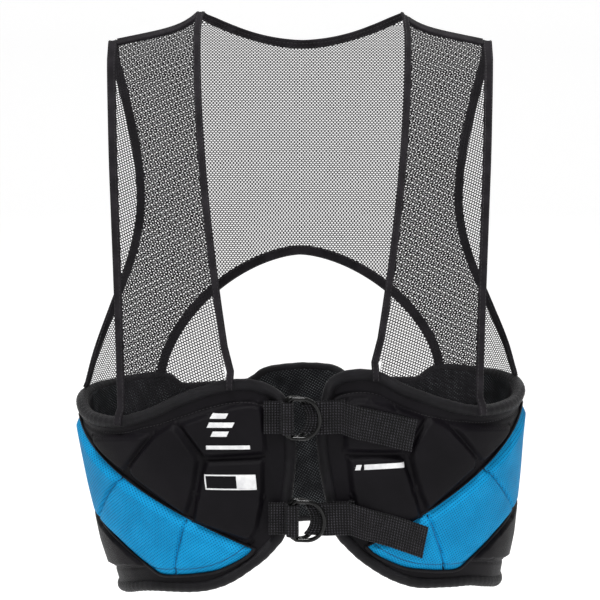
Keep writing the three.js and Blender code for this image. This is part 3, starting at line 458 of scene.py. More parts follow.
def face_cloth():
    """Smooth warp-knit face: matt, with a very fine twill and soft, greyer worn patches."""
    look = new_look("black_face_cloth", 0.5, 0.11)
    colour, noise, u, v = woven(look, (0.0022, 0.0017, 0.0028), (0.0044, 0.0035, 0.0052), 0.03)
    grain = (u + v).wave(0.0009) * (u - v).wave(0.0013)
    return cover(look, colour, grain + noise * 3.0, 0.35, 0.0002)


# Foam blocks moulded under the face cloth: outlines as turn from the opening
# and share of the belt's height below its top line.
BLOCKS = {
    "upper_front_pad": ((29.6, 0.035), (20.8, -0.025), (13.9, -0.07), (9.4, -0.072), (8, -0.05),
                        (7.7, 0.185), (23.3, 0.205)),
    "lower_front_pad": ((23, 0.222), (8.4, 0.212), (9.2, 0.41), (11.6, 0.585), (14.1, 0.64),
                        (29.2, 0.545), (26.6, 0.4)),
    "diamond_pad": ((30.9, 0.034), (36.3, 0.075), (49, 0.274), (48.6, 0.32), (30.9, 0.518),
                    (27.5, 0.391), (24.7, 0.209)),
    "side_pad": ((68, 0.14), (38.1, 0.09), (51.4, 0.305), (64, 0.2)),
    "lower_side_pad": ((50.5, 0.812), (62, 0.835), (78, 0.862), (95, 0.89), (95, 0.531), (85, 0.574),
                       (75, 0.623), (64.5, 0.677), (57, 0.732), (50, 0.791)),
}
BLOCK_RISE, BLOCK_SHOULDER, BLOCK_CROWN, CROWN_REACH = 0.0046, 0.0042, 0.0009, 0.022
BLOCK_SOFTNESS, BLOCK_GROWTH = 0.0012, 0.0009
SEAM_DIP, SEAM_DIP_HALF = 0.0012, 0.0013
TOP_SEAM, TOP_SEAM_RISE, RISE_START, RISE_REACH = 0.0134, 0.0046, 28, 15
FOOT_SEAM, FOOT_SEAM_START = 0.016, 13
FRONT_CREASE, BACK_CREASE = 0.00022, 0.0004


def on_belt(outline, side):
    """An outline of (turn, fall) as (arc, height)."""
    return np.array([(float(arc_at(panel_turn(turn, side))), BELT_TOP - BELT_HEIGHT * fall)
                     for turn, fall in outline])


def segment_distances(line, places, closed=True):
    ends = np.roll(line, -1, 0) if closed else line[1:]
    starts = line if closed else line[:-1]
    found = []
    for a, b in zip(starts, ends):
        way = b - a
        share = np.clip((places - a) @ way / (way @ way), 0, 1)
        found.append(np.linalg.norm(places - a - share[..., None] * way, axis=-1))
    return np.stack(found, -1)


def inside_outline(outline, x, y):
    """Which places lie in a closed outline, by counting the edges crossed."""
    crossed = np.zeros(np.shape(x), int)
    for (x0, y0), (x1, y1) in zip(outline, np.roll(outline, -1, 0)):
        if y0 != y1:
            crossed += ((y0 > y) != (y1 > y)) & (x < x0 + (y - y0) / (y1 - y0) * (x1 - x0))
    return crossed % 2 == 1


def soft_edge(distances, softness):
    return -softness * np.log(np.sum(np.exp(-distances / softness), -1))


def rounded(inward, shoulder, rise):
    t = ramp(inward, 0, shoulder)
    return rise * (0.6 * t + 0.4 * (3 * t**2 - 2 * t**3))


def face_out(side, places):
    """How far the face cloth stands out from the form, with the foam blocks under it."""
    out = np.zeros(places.shape[:-1])
    for outline in BLOCKS.values():
        line = on_belt(outline, side)
        inward = soft_edge(segment_distances(line, places), BLOCK_SOFTNESS)
        inside = inside_outline(line, places[..., 0], places[..., 1])
        inward = np.maximum(np.where(inside, inward, -inward) + BLOCK_GROWTH, 0)
        block = rounded(inward, BLOCK_SHOULDER, BLOCK_RISE)
        out = np.maximum(out, block + BLOCK_CROWN * ramp(inward, 0, CROWN_REACH))
    return SHELL_OUT + out


def top_seam(from_opening):
    """How far the upper seam of a wing runs below the wing's top."""
    return TOP_SEAM - TOP_SEAM_RISE * ramp(from_opening, RISE_START, RISE_REACH)


black_cloth = face_cloth()
FRONT_COLUMNS, FRONT_ROWS = 277, 141
for side, name in SIDES:
    top, bottom, inner = front_edges(side, FRONT_COLUMNS, FRONT_ROWS)
    seam = pair(np.full(FRONT_ROWS, top[0, 0]), np.linspace(top[0, 1], bottom[0, 1], FRONT_ROWS))
    grid = fill_outline(top, bottom, seam, inner)
    turn, height = grid[..., 0], grid[..., 1]
    # seams sewn through the foam, one under the top roll and one above the bottom roll
    from_opening = np.abs(turn - CLOSURE_SHIFT)
    dip = bell(top[:, 1] - height - top_seam(from_opening), SEAM_DIP_HALF)
    dip += bell(height - bottom[:, 1] - FOOT_SEAM, SEAM_DIP_HALF) * (from_opening > FOOT_SEAM_START)
    out = face_out(side, pair(arc_at(turn), height)) - SEAM_DIP * dip
    out += FRONT_CREASE * ripple(turn, height, 1.6, 1.3 + side)
    covered = [f"front_shell_{name}", *(f"{block}_{name}" for block in BLOCKS)]
    cushion(f"front_panel_{name}", (turn, height), (out, SHELL_IN),
            (black_cloth, "black_fabric", *covered))

BACK_COLUMNS, BACK_ROWS = 221, 65
BACK_SWELL, SWELL_REACH, BACK_EDGE, BACK_END = 0.0014, 0.006, 0.016, 0.009
END_TURN, PER_DEGREE = 14, 0.0028
BACK_GROOVE, GROOVE_HALF, BACK_GROOVES = 0.0028, 0.9, ((18, 0.0), (46, 6.0))
turn = np.linspace(-SIDE_SEAM, SIDE_SEAM - 360, BACK_COLUMNS)
from_back = np.abs(turn + 180)
back_low = bottom_height(180 - from_back)
back_high = back_height(from_back)
down = np.linspace(0, 1, BACK_ROWS)[:, None]
height = back_high * (1 - down) + back_low * down
near_edge = np.minimum(down, 1 - down) * BELT_HEIGHT * 0.8
near_seam = (SIDE_SEAM - END_TURN - from_back) * PER_DEGREE + 0.001
rounding = np.clip(np.minimum(near_edge / BACK_EDGE, near_seam / BACK_END), 0, 1)
out = SHELL_OUT + (BACK_OUT - SHELL_OUT) * np.sqrt(1 - (1 - rounding) ** 2)
lean = (down - 0.5) * 2
groove = sum(bell(from_back - at - slant * lean, GROOVE_HALF) for at, slant in BACK_GROOVES)
below_seam = back_high - height - TOP_SEAM
above_seam = height - back_low - FOOT_SEAM
edge_seams = bell(below_seam, SEAM_DIP_HALF) + bell(above_seam, SEAM_DIP_HALF)
between = ramp(np.minimum(below_seam, above_seam), 0, SWELL_REACH)
swell = BACK_SWELL - BACK_GROOVE * np.minimum(groove, 1)
out = out + rounding * (between * swell - SEAM_DIP * edge_seams)
out += BACK_CREASE * ripple(turn, height, 1.2, 4.0)
cushion("back_panel", (turn, height), (out, BACK_IN),
        (black_cloth, "black_fabric", "back_shell"))

# ------------------------------
# Lining: spacer mesh that lies against the wearer's back, a dark knit whose
# small round holes show a grey-green ground. It is sewn in under the rolls.
LINING_GAP, LINING_WALL, LINING_CREASE = 0.0003, 0.0017, 0.0005


def spacer_mesh():
    look = new_look("spacer_mesh_lining", 0.85, 0.08)
    tree = look.node_tree
    u, v = cloth_axes(tree)
    hole = (u + v * 0.7).wave(0.0024) + (v - u * 0.6).wave(0.0024)
    amount = hole.mapped(0.3, 1.6) * clouds(tree, 70, 3).mapped(0.35, 0.7)
    colour = blend(tree, amount, (0.012, 0.0125, 0.014, 1), (0.115, 0.125, 0.130, 1))
    return cover(look, colour, hole, 0.8, 0.0006)


lining_out = BACK_IN - LINING_GAP
crease = LINING_CREASE * ripple(turn, height, 2.2, 7.0) * ramp(near_edge, 0, 0.02)
lining_in = lining_out - LINING_WALL + crease
cushion("back_lining_cloth", (turn, height), (lining_out, lining_in),
        (spacer_mesh(), "lining", "back_lining"), coarser=1)

# ------------------------------
# Blue band: air mesh over foam, sewn down along both borders and along two
# seams that part it into three blocks, with a dark cord piped in its borders.
BAND_RISE, BAND_SHOULDER, BAND_HEM, GROOVE_FADE = 0.0048, 0.0075, 0.0006, 0.004
BAND_THIN_FROM, BAND_THIN_REACH = 0.195, 0.06
BAND_CREST, BAND_CAP, BAND_SLOPE = -0.312, -0.309, 0.00137
CREST_TURN, CREST_DROP, DROP_REACH = 81, 0.001, 16
BAND_CLOTH, BAND_CREASE, BAND_STITCH_DIP, BAND_STITCH_HALF = 0.0004, 0.0002, 0.0009, 0.0009
BAND_GROOVE, BAND_VALLEY = (0.0024, 0.0011), (0.0005, 0.0035)
BAND_LOW = {
    "turn": [12.5, 14.8, 19.6, 24.4, 29.6, 38.7, 45, 50, 57, 64.5, 75, 85, 97],
    "height": [-0.4045, -0.4115, -0.4193, -0.4247, -0.4275, -0.4305, -0.4303, -0.4236, -0.4145, -0.406,
               -0.3975, -0.390, -0.382],
}
BAND_SEAMS = (((53, 0.335), (61, 0.43), (75.5, 0.6)),
              ((31.2, 0.54), (33.8, 0.642), (36.4, 0.737), (38.9, 0.845)))


def band_top(turn):
    """Height of the upper border, a straight slant up to its crest near the side seam."""
    slant = np.minimum(BAND_CREST - BAND_SLOPE * (CREST_TURN - turn), BAND_CAP)
    return slant - CREST_DROP * ramp(turn, CREST_TURN, DROP_REACH)


def air_mesh():
    """Open blue knit: rows of tiny dark holes on the slant over a lighter, slightly shiny ground."""
    look = new_look("blue_air_mesh", 0.6, 0.1)
    ground, noise, u, v = woven(look, (0.002, 0.235, 0.50), (0.004, 0.295, 0.61), 0.02)
    holes = (u + v * 0.55).wave(0.0021) + (v - u * 0.6).wave(0.0024)
    mask = holes.mapped(0.7, 1.7)
    colour = blend(look.node_tree, mask, ground, (0.001, 0.055, 0.15, 1))
    fine = u.wave(0.0008) * v.wave(0.0008)
    return cover(look, colour, fine * 0.3 - mask * 1.2 + noise * 2.0, 0.55, 0.0004)


def gap_to(lines, places):
    gaps = [segment_distances(line, places, closed=False) for line in lines]
    return soft_edge(np.concatenate(gaps, -1), 0.0003)


def band_out(side, places):
    """How far the blue mesh stands out, lower at its borders and in its two seams."""
    seam_gap = gap_to([on_belt(line, side) for line in BAND_SEAMS], places)
    border_gap = gap_to(band_borders_flat[side], places)
    thinning = 1 - 0.5 * ramp(np.abs(places[..., 0]), BAND_THIN_FROM, BAND_THIN_REACH)
    foam = rounded(np.maximum(border_gap - BAND_HEM, 0), BAND_SHOULDER, BAND_RISE * thinning)
    groove = sum(deep * bell(seam_gap, half) for deep, half in (BAND_GROOVE, BAND_VALLEY))
    return SHELL_OUT + BAND_CLOTH + foam - groove * ramp(border_gap, 0, GROOVE_FADE)


blue_cloth = air_mesh()
BAND_COLUMNS, BAND_ROWS = 281, 81
band_borders, band_borders_flat = {}, {}
for side, name in SIDES:
    round_turn = np.linspace(SIDE_SEAM - 0.3, 12.6, BAND_COLUMNS)
    high = band_top(round_turn)
    low = np.minimum(read_table(BAND_LOW, "height", round_turn), high - 0.0004)
    down = np.linspace(0, 1, BAND_ROWS)[:, None]
    height = high * (1 - down) + low * down
    turn = panel_turn(round_turn, side)
    places = pair(arc_at(turn), height)
    band_borders[side] = [pair(turn, height[row]) for row in (0, -1)]
    band_borders_flat[side] = [places[0, ::4], places[-1, ::4]]
    stitched = bell(height - bottom_height(round_turn) - FOOT_SEAM, BAND_STITCH_HALF)
    out = band_out(side, places) - BAND_STITCH_DIP * stitched
    out += BAND_CREASE * ripple(turn, height, 1.8, 2.2 + side)
    covered = (f"blue_{block}_pad_{name}" for block in ("side", "middle", "front"))
    cushion(f"blue_band_{name}", (turn, height), (out, SHELL_OUT - 0.001),
            (blue_cloth, "blue_mesh", *covered))

# ------------------------------
# Rolled edge: one tape folded round the foam and sewn down, all the way round
# the belt. Where it is sewn it puckers a little between the stitches.
ROLL_RADIUS, ROLL_OUT = 0.0050, -0.0005


def run_along(here, normal, closed=False):
    """A run of points, with the direction to its left and up from the cloth."""
    if closed:
        toward = unit(np.roll(here, -1, 0) - np.roll(here, 1, 0))
    else:
        toward = unit(np.gradient(here, axis=0))
    side = unit(np.cross(normal, toward))
    return here, side, unit(np.cross(toward, side))


def stations(places, outs, closed=False):
    here, normal = form_frame(places[:, 0], places[:, 1])
    return run_along(here + normal * np.broadcast_to(outs, len(here))[:, None], normal, closed)


def sweep_tape(name, run, outline, dressing, closed=False):
    """Body of an outline carried along a run; outline is stations by points by (across, up)."""
    here, side, up = run
    outline = np.broadcast_to(outline, (len(here), *np.shape(outline)[-2:]))
    points = here[:, None] + side[:, None] * outline[..., :1] + up[:, None] * outline[..., 1:]
    count, around = points.shape[:2]
    index = np.arange(count * around).reshape(count, around)
    after = np.roll(index, -1, 0) if closed else index[1:]
    start = index if closed else index[:-1]
    faces = np.stack([start, np.roll(start, -1, 1), np.roll(after, -1, 1), after], -1).reshape(-1, 4)
    area = np.sum(outline[0, :, 0] * np.roll(outline[0, :, 1], -1)
                  - outline[0, :, 1] * np.roll(outline[0, :, 0], -1))
    ends = [] if closed else [tuple(index[0][::-1]), tuple(index[-1])]
    if area < 0:
        faces, ends = faces[:, ::-1], [end[::-1] for end in ends]
    piece = new_object(name, points.reshape(-1, 3), [*faces, *ends])
    piece.data.shade_smooth()
    girth = np.cumsum(np.linalg.norm(np.diff(outline[0], axis=0, prepend=outline[0, -1:]), axis=1))
    give_uv(piece, pair(lengths(here)[:, None], girth))
    dress(piece, *dressing)


def spread(points, pitch):
    """Evenly spaced places along a run; the turn counts as an arc of the belt."""
    flat = pair(np.radians(points[:, 0]) * 0.15, points[:, 1])
    length = lengths(flat)
    at = np.linspace(0, length[-1], max(int(length[-1] / pitch), 2) + 1)
    return np.stack([np.interp(at, length, points[:, k]) for k in (0, 1)], -1)


def ring_outline(radius, sides):
    angle = np.linspace(0, 2 * math.pi, sides, endpoint=False)
    return radius * pair(np.cos(angle), np.sin(angle))


def tape_cloth(name, dark, light, roughness=0.7, gloss=0.1):
    """Woven grosgrain: fine ribs across the tape."""
    look = new_look(name, roughness, gloss, {"Sheen Weight": 0.02, "Sheen Roughness": 0.4})
    colour, noise, u, v = woven(look, dark, light, 0.012)
    return cover(look, colour, u.wave(0.0008) + v.wave(0.0007) * 0.4 + noise * 2.5, 0.5, 0.00025)


binding_cloth = tape_cloth("binding_tape", (0.0032, 0.0028, 0.0038), (0.0064, 0.0058, 0.0076),
                           roughness=0.5, gloss=0.16)
left_top, left_bottom, left_inner = front_edges(-1, 160, 60)
right_top, right_bottom, right_inner = front_edges(1, 160, 60)
back_run = np.linspace(-SIDE_SEAM, SIDE_SEAM - 360, 200)[1:-1]
over_back = pair(back_run, back_height(np.abs(back_run + 180)))
under_back = pair(back_run, bottom_height(180 - np.abs(back_run + 180)))
round_right = np.concatenate([right_bottom, right_inner[-2:0:-1], right_top[::-1]]) - [360, 0]
edge_loop = spread(np.concatenate([left_top, left_inner[1:-1], left_bottom[::-1], under_back,
                                   round_right, over_back[::-1]]), 0.0024)
roll_run = stations(edge_loop[:-1], ROLL_OUT, closed=True)
step = np.arange(len(edge_loop) - 1)
pucker = 1 + 0.025 * np.sin(step * 1.9) + 0.02 * np.sin(step * 0.37)
roll_girth = ring_outline(ROLL_RADIUS, 16) * pucker[:, None, None]
sweep_tape("rolled_edge", roll_run, roll_girth, (binding_cloth, "binding_tape", "belt_binding"),
           closed=True)

for side, name in SIDES:
    for label, border, girth, lift in (("upper", band_borders[side][0], (0.0009, 0.0011), 0.0006),
                                       ("lower", band_borders[side][1], (0.0014, 0.0010), 0.0014)):
        run = stations(border[::-1] if side > 0 else border, SHELL_OUT + lift)
        sweep_tape(f"band_piping_{label}_{name}", run, ring_outline(1, 10) * np.array(girth),
                   (binding_cloth, "binding_tape"))

# ------------------------------
# Edge tapes of the vest: folded tape sewn round the armholes, up the front
# edges and round the neck, and over the open arch in the back. Each foot of a
# front strip is carried over the belt's roll and sewn down outside it.
FRONT_TAPE, ARMHOLE_TAPE, NECK_TAPE, ARCH_TAPE, TAPE_WALL = 0.0060, 0.0075, 0.0088, 0.0085, 0.002
STRIP_FOOT_OUTER, STRIP_FOOT_INNER = 0.1415, 0.056
ROLL_SEAT = ROLL_RADIUS + 0.0009
ARMHOLE = {
    "down": [0, 0.14, 0.3, 0.45, 0.55, 0.65, 0.77, 0.9, 1],
    "out": [0, -0.28, -0.54, -0.62, -0.5, -0.22, 0.25, 0.74, 1],
}
FOOT = {"above": [-1, 0.4, 1.3, 2.2], "out": [1, 1, 0.6, 0]}
FOOT_END, FOOT_STATIONS = -0.35, 9
NECK_DIP, NECK_CORNER, NECK_ROUND = 0.026, 0.0024, 1.8
STRIP_CURVE, STRIP_GAP, STRIP_LIFT, ARM_SEAT = 1.6, 0.002, 0.0042, 0.004


def turn_of(x, height, face):
    """The turn at which the form's front or back lies at x."""
    half, _, sway = section(height)
    share = np.clip(np.abs(x - sway) / half, 0, 0.9995)
    turn = np.degrees(np.arcsin(share ** (SQUARENESS / 2)))
    return np.sign(x - sway) * (turn if face == "front" else 180 - turn)


def roll_height(turn):
    around = abs(turn)
    if around > SIDE_SEAM:
        return float(back_height(180 - around))
    shift = CLOSURE_SHIFT * (1 - ramp(around, 0, SHIFT_FADE))
    return float(front_height(abs(turn - shift), math.copysign(1, turn)))


def foot_height(x, face, above):
    """How high the rolled edge's middle runs at x, and a little above it."""
    height = BELT_TOP
    for _ in range(6):
        height = roll_height(float(turn_of(x, height, face))) + above
    return height


def strip_edge(side, inner):
    """Front strip's edge from over the belt's roll to the shoulder: places and offsets."""
    shift = NECK_SHIFT if inner else 0
    foot = (STRIP_FOOT_INNER if inner else STRIP_FOOT_OUTER) * side + shift
    low = foot_height(foot, "front", 0)
    high = float(seam_height(NECK_HALF + STRIP_GAP if inner else SHOULDER_HALF)) - SHOULDER_ROUND
    steps = np.linspace(FOOT_END, 2.2, FOOT_STATIONS)
    climb = np.array([foot_height(foot, "front", ROLL_RADIUS * above) for above in steps])
    climb_out = (STRIP_LIFT + ROLL_OUT + TAPE_WALL / 2) * read_table(FOOT, "out", steps)
    height = np.linspace(low + 0.03, high, 70)
    share = 1 - (height - low) / (high - low)
    if inner:
        inset = NECK_HALF + STRIP_GAP - STRIP_FOOT_INNER
        x = side * (NECK_HALF + STRIP_GAP - inset * share**STRIP_CURVE) + shift
    else:
        x = side * (STRIP_FOOT_OUTER + (SHOULDER_HALF - STRIP_FOOT_OUTER) * (1 - share) ** STRIP_CURVE)
    height = np.concatenate([climb, height])
    x = np.concatenate([np.full(len(climb), foot), x])
    places = pair(turn_of(x, height, "front"), height)
    return places, np.concatenate([climb_out, np.zeros(70)])


def behind(places):
    """The same places, with turns that run on past the back's middle below -180."""
    return pair(np.where(places[..., 0] > 0, places[..., 0] - 360, places[..., 0]), places[..., 1])


def over_shoulder(x, degrees):
    """Places round the top of a shoulder, from the front (below 0) to the back."""
    degrees = np.asarray(degrees, float)
    height = seam_height(x) - SHOULDER_ROUND * (1 - np.cos(np.radians(np.abs(degrees))))
    front, back = turn_of(x, height, "front"), turn_of(x, height, "back")
    return pair(np.where(degrees < 0, front, back), height)


def joined(*runs):
    """Runs of (places, offsets) as one, with the number of the run that each place is from."""
    return (np.concatenate([places for places, _ in runs]),
            np.concatenate([np.broadcast_to(outs, len(places)) for places, outs in runs]),
            np.concatenate([np.full(len(run[0]), number) for number, run in enumerate(runs)]))


def armhole_run(side):
    """Up the front strip's outer edge, over the shoulder (run 1) and down the back (run 2)."""
    places, outs = strip_edge(side, inner=False)
    over = over_shoulder(side * SHOULDER_HALF, [-75, -60, -45, -30, -16, 16, 30, 45, 60, 75])
    high = float(seam_height(SHOULDER_HALF)) - SHOULDER_ROUND
    foot = np.array([side * 98, roll_height(side * 98) + ARM_SEAT])
    low_x = abs(float(draped(foot[0], foot[1])[0]))
    share = np.linspace(0, 1, 110)
    height = high + (foot[1] - high) * share
    x = SHOULDER_HALF + (low_x - SHOULDER_HALF) * read_table(ARMHOLE, "out", share)
    back = pair(turn_of(side * x, height, "back"), height)
    back[-1] = foot
    return joined((places, outs), (over, 0), (back, 0))


def neck_run():
    """Up the left strip, over it, round the back (run 2), over and down the right strip (run 4)."""
    ends = []
    for side in (-1, 1):
        degrees = np.array([-75, -60, -45, -30, -16, 14, 26])
        x = side * (NECK_HALF + np.where(degrees < 0, -degrees / 45000, 0)) + NECK_SHIFT
        ends.append((strip_edge(side, inner=True), over_shoulder(x, degrees)))
    share = np.linspace(-0.97, 0.97, 90)
    height = seam_height(NECK_HALF) - NECK_DIP + (NECK_DIP - NECK_CORNER) * np.abs(share) ** NECK_ROUND
    back = pair(turn_of(share * NECK_HALF + NECK_SHIFT, height, "back"), height)
    (left, left_over), ((right, right_outs), right_over) = ends
    return joined(left, (left_over, 0), (back, 0), (right_over[::-1], 0), (right[::-1], right_outs[::-1]))


def tape_outline(width):
    """Folded tape: two round edges, a little thicker than its middle."""
    half = [(-1, 0), (-0.93, -0.8), (-0.72, -1.05), (-0.35, -0.8),
            (0.35, -0.8), (0.72, -1.05), (0.93, -0.8)]
    outline = np.concatenate([half, np.negative(half)])
    return outline / 2 * pair(width, TAPE_WALL)[..., None, :]


edge_cloth = tape_cloth("edge_tape", (0.010, 0.0088, 0.0105), (0.021, 0.0185, 0.022))
armhole_runs, armhole_stations = {}, {}
for side, name in SIDES:
    places, outs, part = armhole_run(side)
    armhole_runs[side] = (places, part)
    armhole_stations[side] = stations(places, outs)
    sweep_tape(f"armhole_tape_{name}", armhole_stations[side], tape_outline(ARMHOLE_TAPE),
               (edge_cloth, "binding_tape", f"armhole_binding_{name}"))
neck_places, neck_outs, neck_part = neck_run()
neck_width = FRONT_TAPE + (NECK_TAPE - FRONT_TAPE) * (neck_part == 2)
neck_width = np.convolve(np.pad(neck_width, 4, "edge"), np.ones(9) / 9, "valid")
neck_stations = stations(neck_places, neck_outs)
sweep_tape("neckline_tape", neck_stations, tape_outline(neck_width),
           (edge_cloth, "binding_tape", "neckline_binding"))

ARCH_HALF, ARCH_RISE, ARCH_SINK, ARCH_ROUNDNESS = 0.119, 0.099, 0.004, 1.65
arch_foot = foot_height(-ARCH_HALF, "back", ROLL_SEAT)
arch_low = roll_height(float(turn_of(-ARCH_HALF, arch_foot, "back"))) + ROLL_SEAT - ARCH_SINK
angle = np.linspace(0, math.pi, 141)
arch_x = -np.sign(np.cos(angle)) * ARCH_HALF * np.abs(np.cos(angle)) ** (2 / ARCH_ROUNDNESS)
arch_z = arch_low + (ARCH_RISE + ARCH_SINK) * np.abs(np.sin(angle)) ** (2 / ARCH_ROUNDNESS)
arch_places = behind(pair(turn_of(arch_x, arch_z, "back"), arch_z))
arch_stations = stations(arch_places, 0)
sweep_tape("arch_tape", arch_stations, tape_outline(ARCH_TAPE),
           (edge_cloth, "binding_tape", "arch_binding"))

# ------------------------------
# Shoulder seams: front and back nets are joined under a tape folded over the
# top of each shoulder and sewn along both its edges.
SEAM_REACH = math.degrees(math.acos(1 - 0.004 / SHOULDER_ROUND))
for side, name in SIDES:
    inner_x, outer_x = NECK_HALF + FRONT_TAPE / 2, SHOULDER_HALF - ARMHOLE_TAPE / 2
    across = np.linspace(-SEAM_REACH, SEAM_REACH, 20)
    along = np.linspace(inner_x, outer_x, 60)
    shift = NECK_SHIFT * (1 - (along - inner_x) / (outer_x - inner_x))
    places = over_shoulder((side * along + shift)[:, None], across)
    swell = 0.00022 * np.cos(np.linspace(-1, 1, 20) * math.pi * 2.0)
    uv = pair(along[:, None], np.radians(across) * SHOULDER_ROUND)
    seam = slab(f"shoulder_tape_{name}", lay(places, TAPE_WALL / 2 + swell),
                lay(places, -TAPE_WALL / 2), uv)
    dress(seam, edge_cloth, "binding_tape", f"shoulder_seam_{name}")

# ------------------------------
# Nets: open warp-knit mesh of the vest, a front strip each side and one sheet
# for the back. Every hole is cut through; the knit has six threads round each.
NET_PITCH, NET_ROW = 0.00273, 0.0017
NET_HOLE, NET_TIP, NET_BIAS, NET_BILLOW = 0.655, 0.66, 28, 0.0004
NET_ARC = arc_table(-0.2)
MERIDIAN = 30.0
meridian_height = np.linspace(0.012, -0.31, 330)
meridian_length = lengths(draped(MERIDIAN, meridian_height))


def net_cells(outline, bias):
    """Knit cells in brick order inside an outline of (turn, height): vertices and six-sided faces."""
    cosine, sine = math.cos(math.radians(bias)), math.sin(math.radians(bias))
    turning = np.array([[cosine, -sine], [sine, cosine]])
    q = -np.interp(-outline[:, 1], -meridian_height, meridian_length)
    flat = pair(arc_at(outline[:, 0], NET_ARC), q) @ turning
    low, high = flat.min(0) - 2 * NET_PITCH, flat.max(0) + 2 * NET_PITCH
    columns, rows = (int(n) for n in (high - low) / (NET_PITCH, NET_ROW))
    i, j = np.meshgrid(np.arange(columns), np.arange(rows))
    x = low[0] + NET_PITCH * (i + 0.5 * (j % 2))
    y = low[1] + NET_ROW * j
    tip = NET_TIP * NET_ROW
    top, bottom = j * columns + i, (rows + j) * columns + i
    points = np.concatenate([pair(x, y + tip).reshape(-1, 2), pair(x, y - tip).reshape(-1, 2)])
    right = i + (j % 2)
    whole = (j > 0) & (j < rows - 1) & (right > 0) & (right < columns)
    row_up, row_down = (rows + j + 1) * columns, (j - 1) * columns
    faces = np.stack([bottom, row_down + right, row_up + right, top, row_up + right - 1,
                      row_down + right - 1], -1).reshape(-1, 6)
    keep = whole.ravel() & inside_outline(flat, x.ravel(), y.ravel())
    used, faces = np.unique(faces[keep], return_inverse=True)
    faces = faces.reshape(-1, 6)
    points = points[used] @ turning.T
    height = np.interp(-points[:, 1], meridian_length, meridian_height)
    return turn_at(points[:, 0], NET_ARC), height, faces, points


def node_group(name, *numbers):
    """A geometry tree with one geometry in and out; numbers name its further inputs."""
    tree = bpy.data.node_groups.new(name, "GeometryNodeTree")
    tree.interface.new_socket("Geometry", in_out="INPUT", socket_type="NodeSocketGeometry")
    sockets = [tree.interface.new_socket(label, in_out="INPUT", socket_type="NodeSocketFloat")
               for label in numbers]
    tree.interface.new_socket("Geometry", in_out="OUTPUT", socket_type="NodeSocketGeometry")
    return tree, node(tree, "NodeGroupInput").outputs, sockets


def run_group(piece, tree, shape, look, sockets, values):
    """Makes a tree's shape real in one material, and keeps what it makes of a piece."""
    real = node(tree, "GeometryNodeRealizeInstances", {"Geometry": shape})
    dyed = node(tree, "GeometryNodeSetMaterial", {"Geometry": real.outputs[0], "Material": look})
    tree.links.new(dyed.outputs[0], node(tree, "NodeGroupOutput").inputs[0])
    modifier = piece.modifiers.new(tree.name, "NODES")
    modifier.node_group = tree
    for socket, value in zip(sockets, values):
        modifier[socket.identifier] = value
    shaped = piece.evaluated_get(bpy.context.evaluated_depsgraph_get())
    made = bpy.data.meshes.new_from_object(shaped)
    piece.modifiers.clear()
    piece.data = made


def cut_holes(piece, look, share):
    """Draws each cell's face in towards its middle and takes it out, which leaves the threads."""
    tree, given, sockets = node_group("knit_holes", "Hole share")
    inset = node(tree, "GeometryNodeExtrudeMesh", {"Mesh": given[0], "Offset Scale": 0.0}).outputs
    drawn = node(tree, "GeometryNodeScaleElements", {"Geometry": inset["Mesh"],
                 "Selection": inset["Top"], "Scale": given[1]})
    opened = node(tree, "GeometryNodeDeleteGeometry", {"Geometry": drawn.outputs[0],
                  "Selection": inset["Top"]}, domain="FACE")
    run_group(piece, tree, opened.outputs[0], look, sockets, [share])
    piece.data.shade_smooth()


def net_knit():
    look = new_look("black_net_knit", 0.7, 0.1)
    colour, _, u, v = woven(look, (0.005, 0.0045, 0.0055), (0.012, 0.011, 0.013), 0.02)
    return cover(look, colour, u.wave(0.0006) * v.wave(0.0006), 0.4, 0.0001)


net_look = net_knit()


def make_net(name, outline, replaced, bias=0):
    turn, height, faces, uv = net_cells(outline, bias)
    billow = NET_BILLOW * ripple(turn, height, 0.9, len(name))
    net = new_object(name, on_form(turn, height, billow), faces)
    give_uv(net, uv)
    cut_holes(net, net_look, NET_HOLE)
    net.data.calc_loop_triangles()
    enlist(net, "net", replaced)


def roll_line(turns):
    return np.array([[turn, roll_height(turn if turn >= -180 else turn + 360) + 0.003] for turn in turns])


def shoulder_ridge(side, degrees):
    return over_shoulder(np.linspace(side * SHOULDER_HALF, side * NECK_HALF, 30), degrees)


for side, name in SIDES:
    places, part = armhole_runs[side]
    outer = places[part == 0][FOOT_STATIONS:]
    inner = neck_places[neck_part == 2 + 2 * side][::-side][FOOT_STATIONS:]
    foot = roll_line(np.linspace(inner[0, 0], outer[0, 0], 30))
    ridge = shoulder_ridge(side, -20.0)
    make_net(f"front_net_cloth_{name}", np.concatenate([foot, outer, ridge, inner[::-1]]),
             f"front_net_{name}",
             bias=NET_BIAS * side)

left_arm, right_arm = (behind(places[part == 2]) for places, part in armhole_runs.values())
neck_back = behind(neck_places[neck_part == 2])
ridges = [behind(shoulder_ridge(side, 20.0)) for side in (-1, 1)]
left_foot = roll_line(np.linspace(arch_places[0, 0], left_arm[-1, 0], 20))
right_foot = roll_line(np.linspace(right_arm[-1, 0], arch_places[-1, 0], 20))
back_outline = np.concatenate([ridges[0], neck_back, ridges[1][::-1], right_arm, right_foot,
                               arch_places[::-1], left_foot, left_arm[::-1]])
make_net("back_net_cloth", back_outline, "back_net")

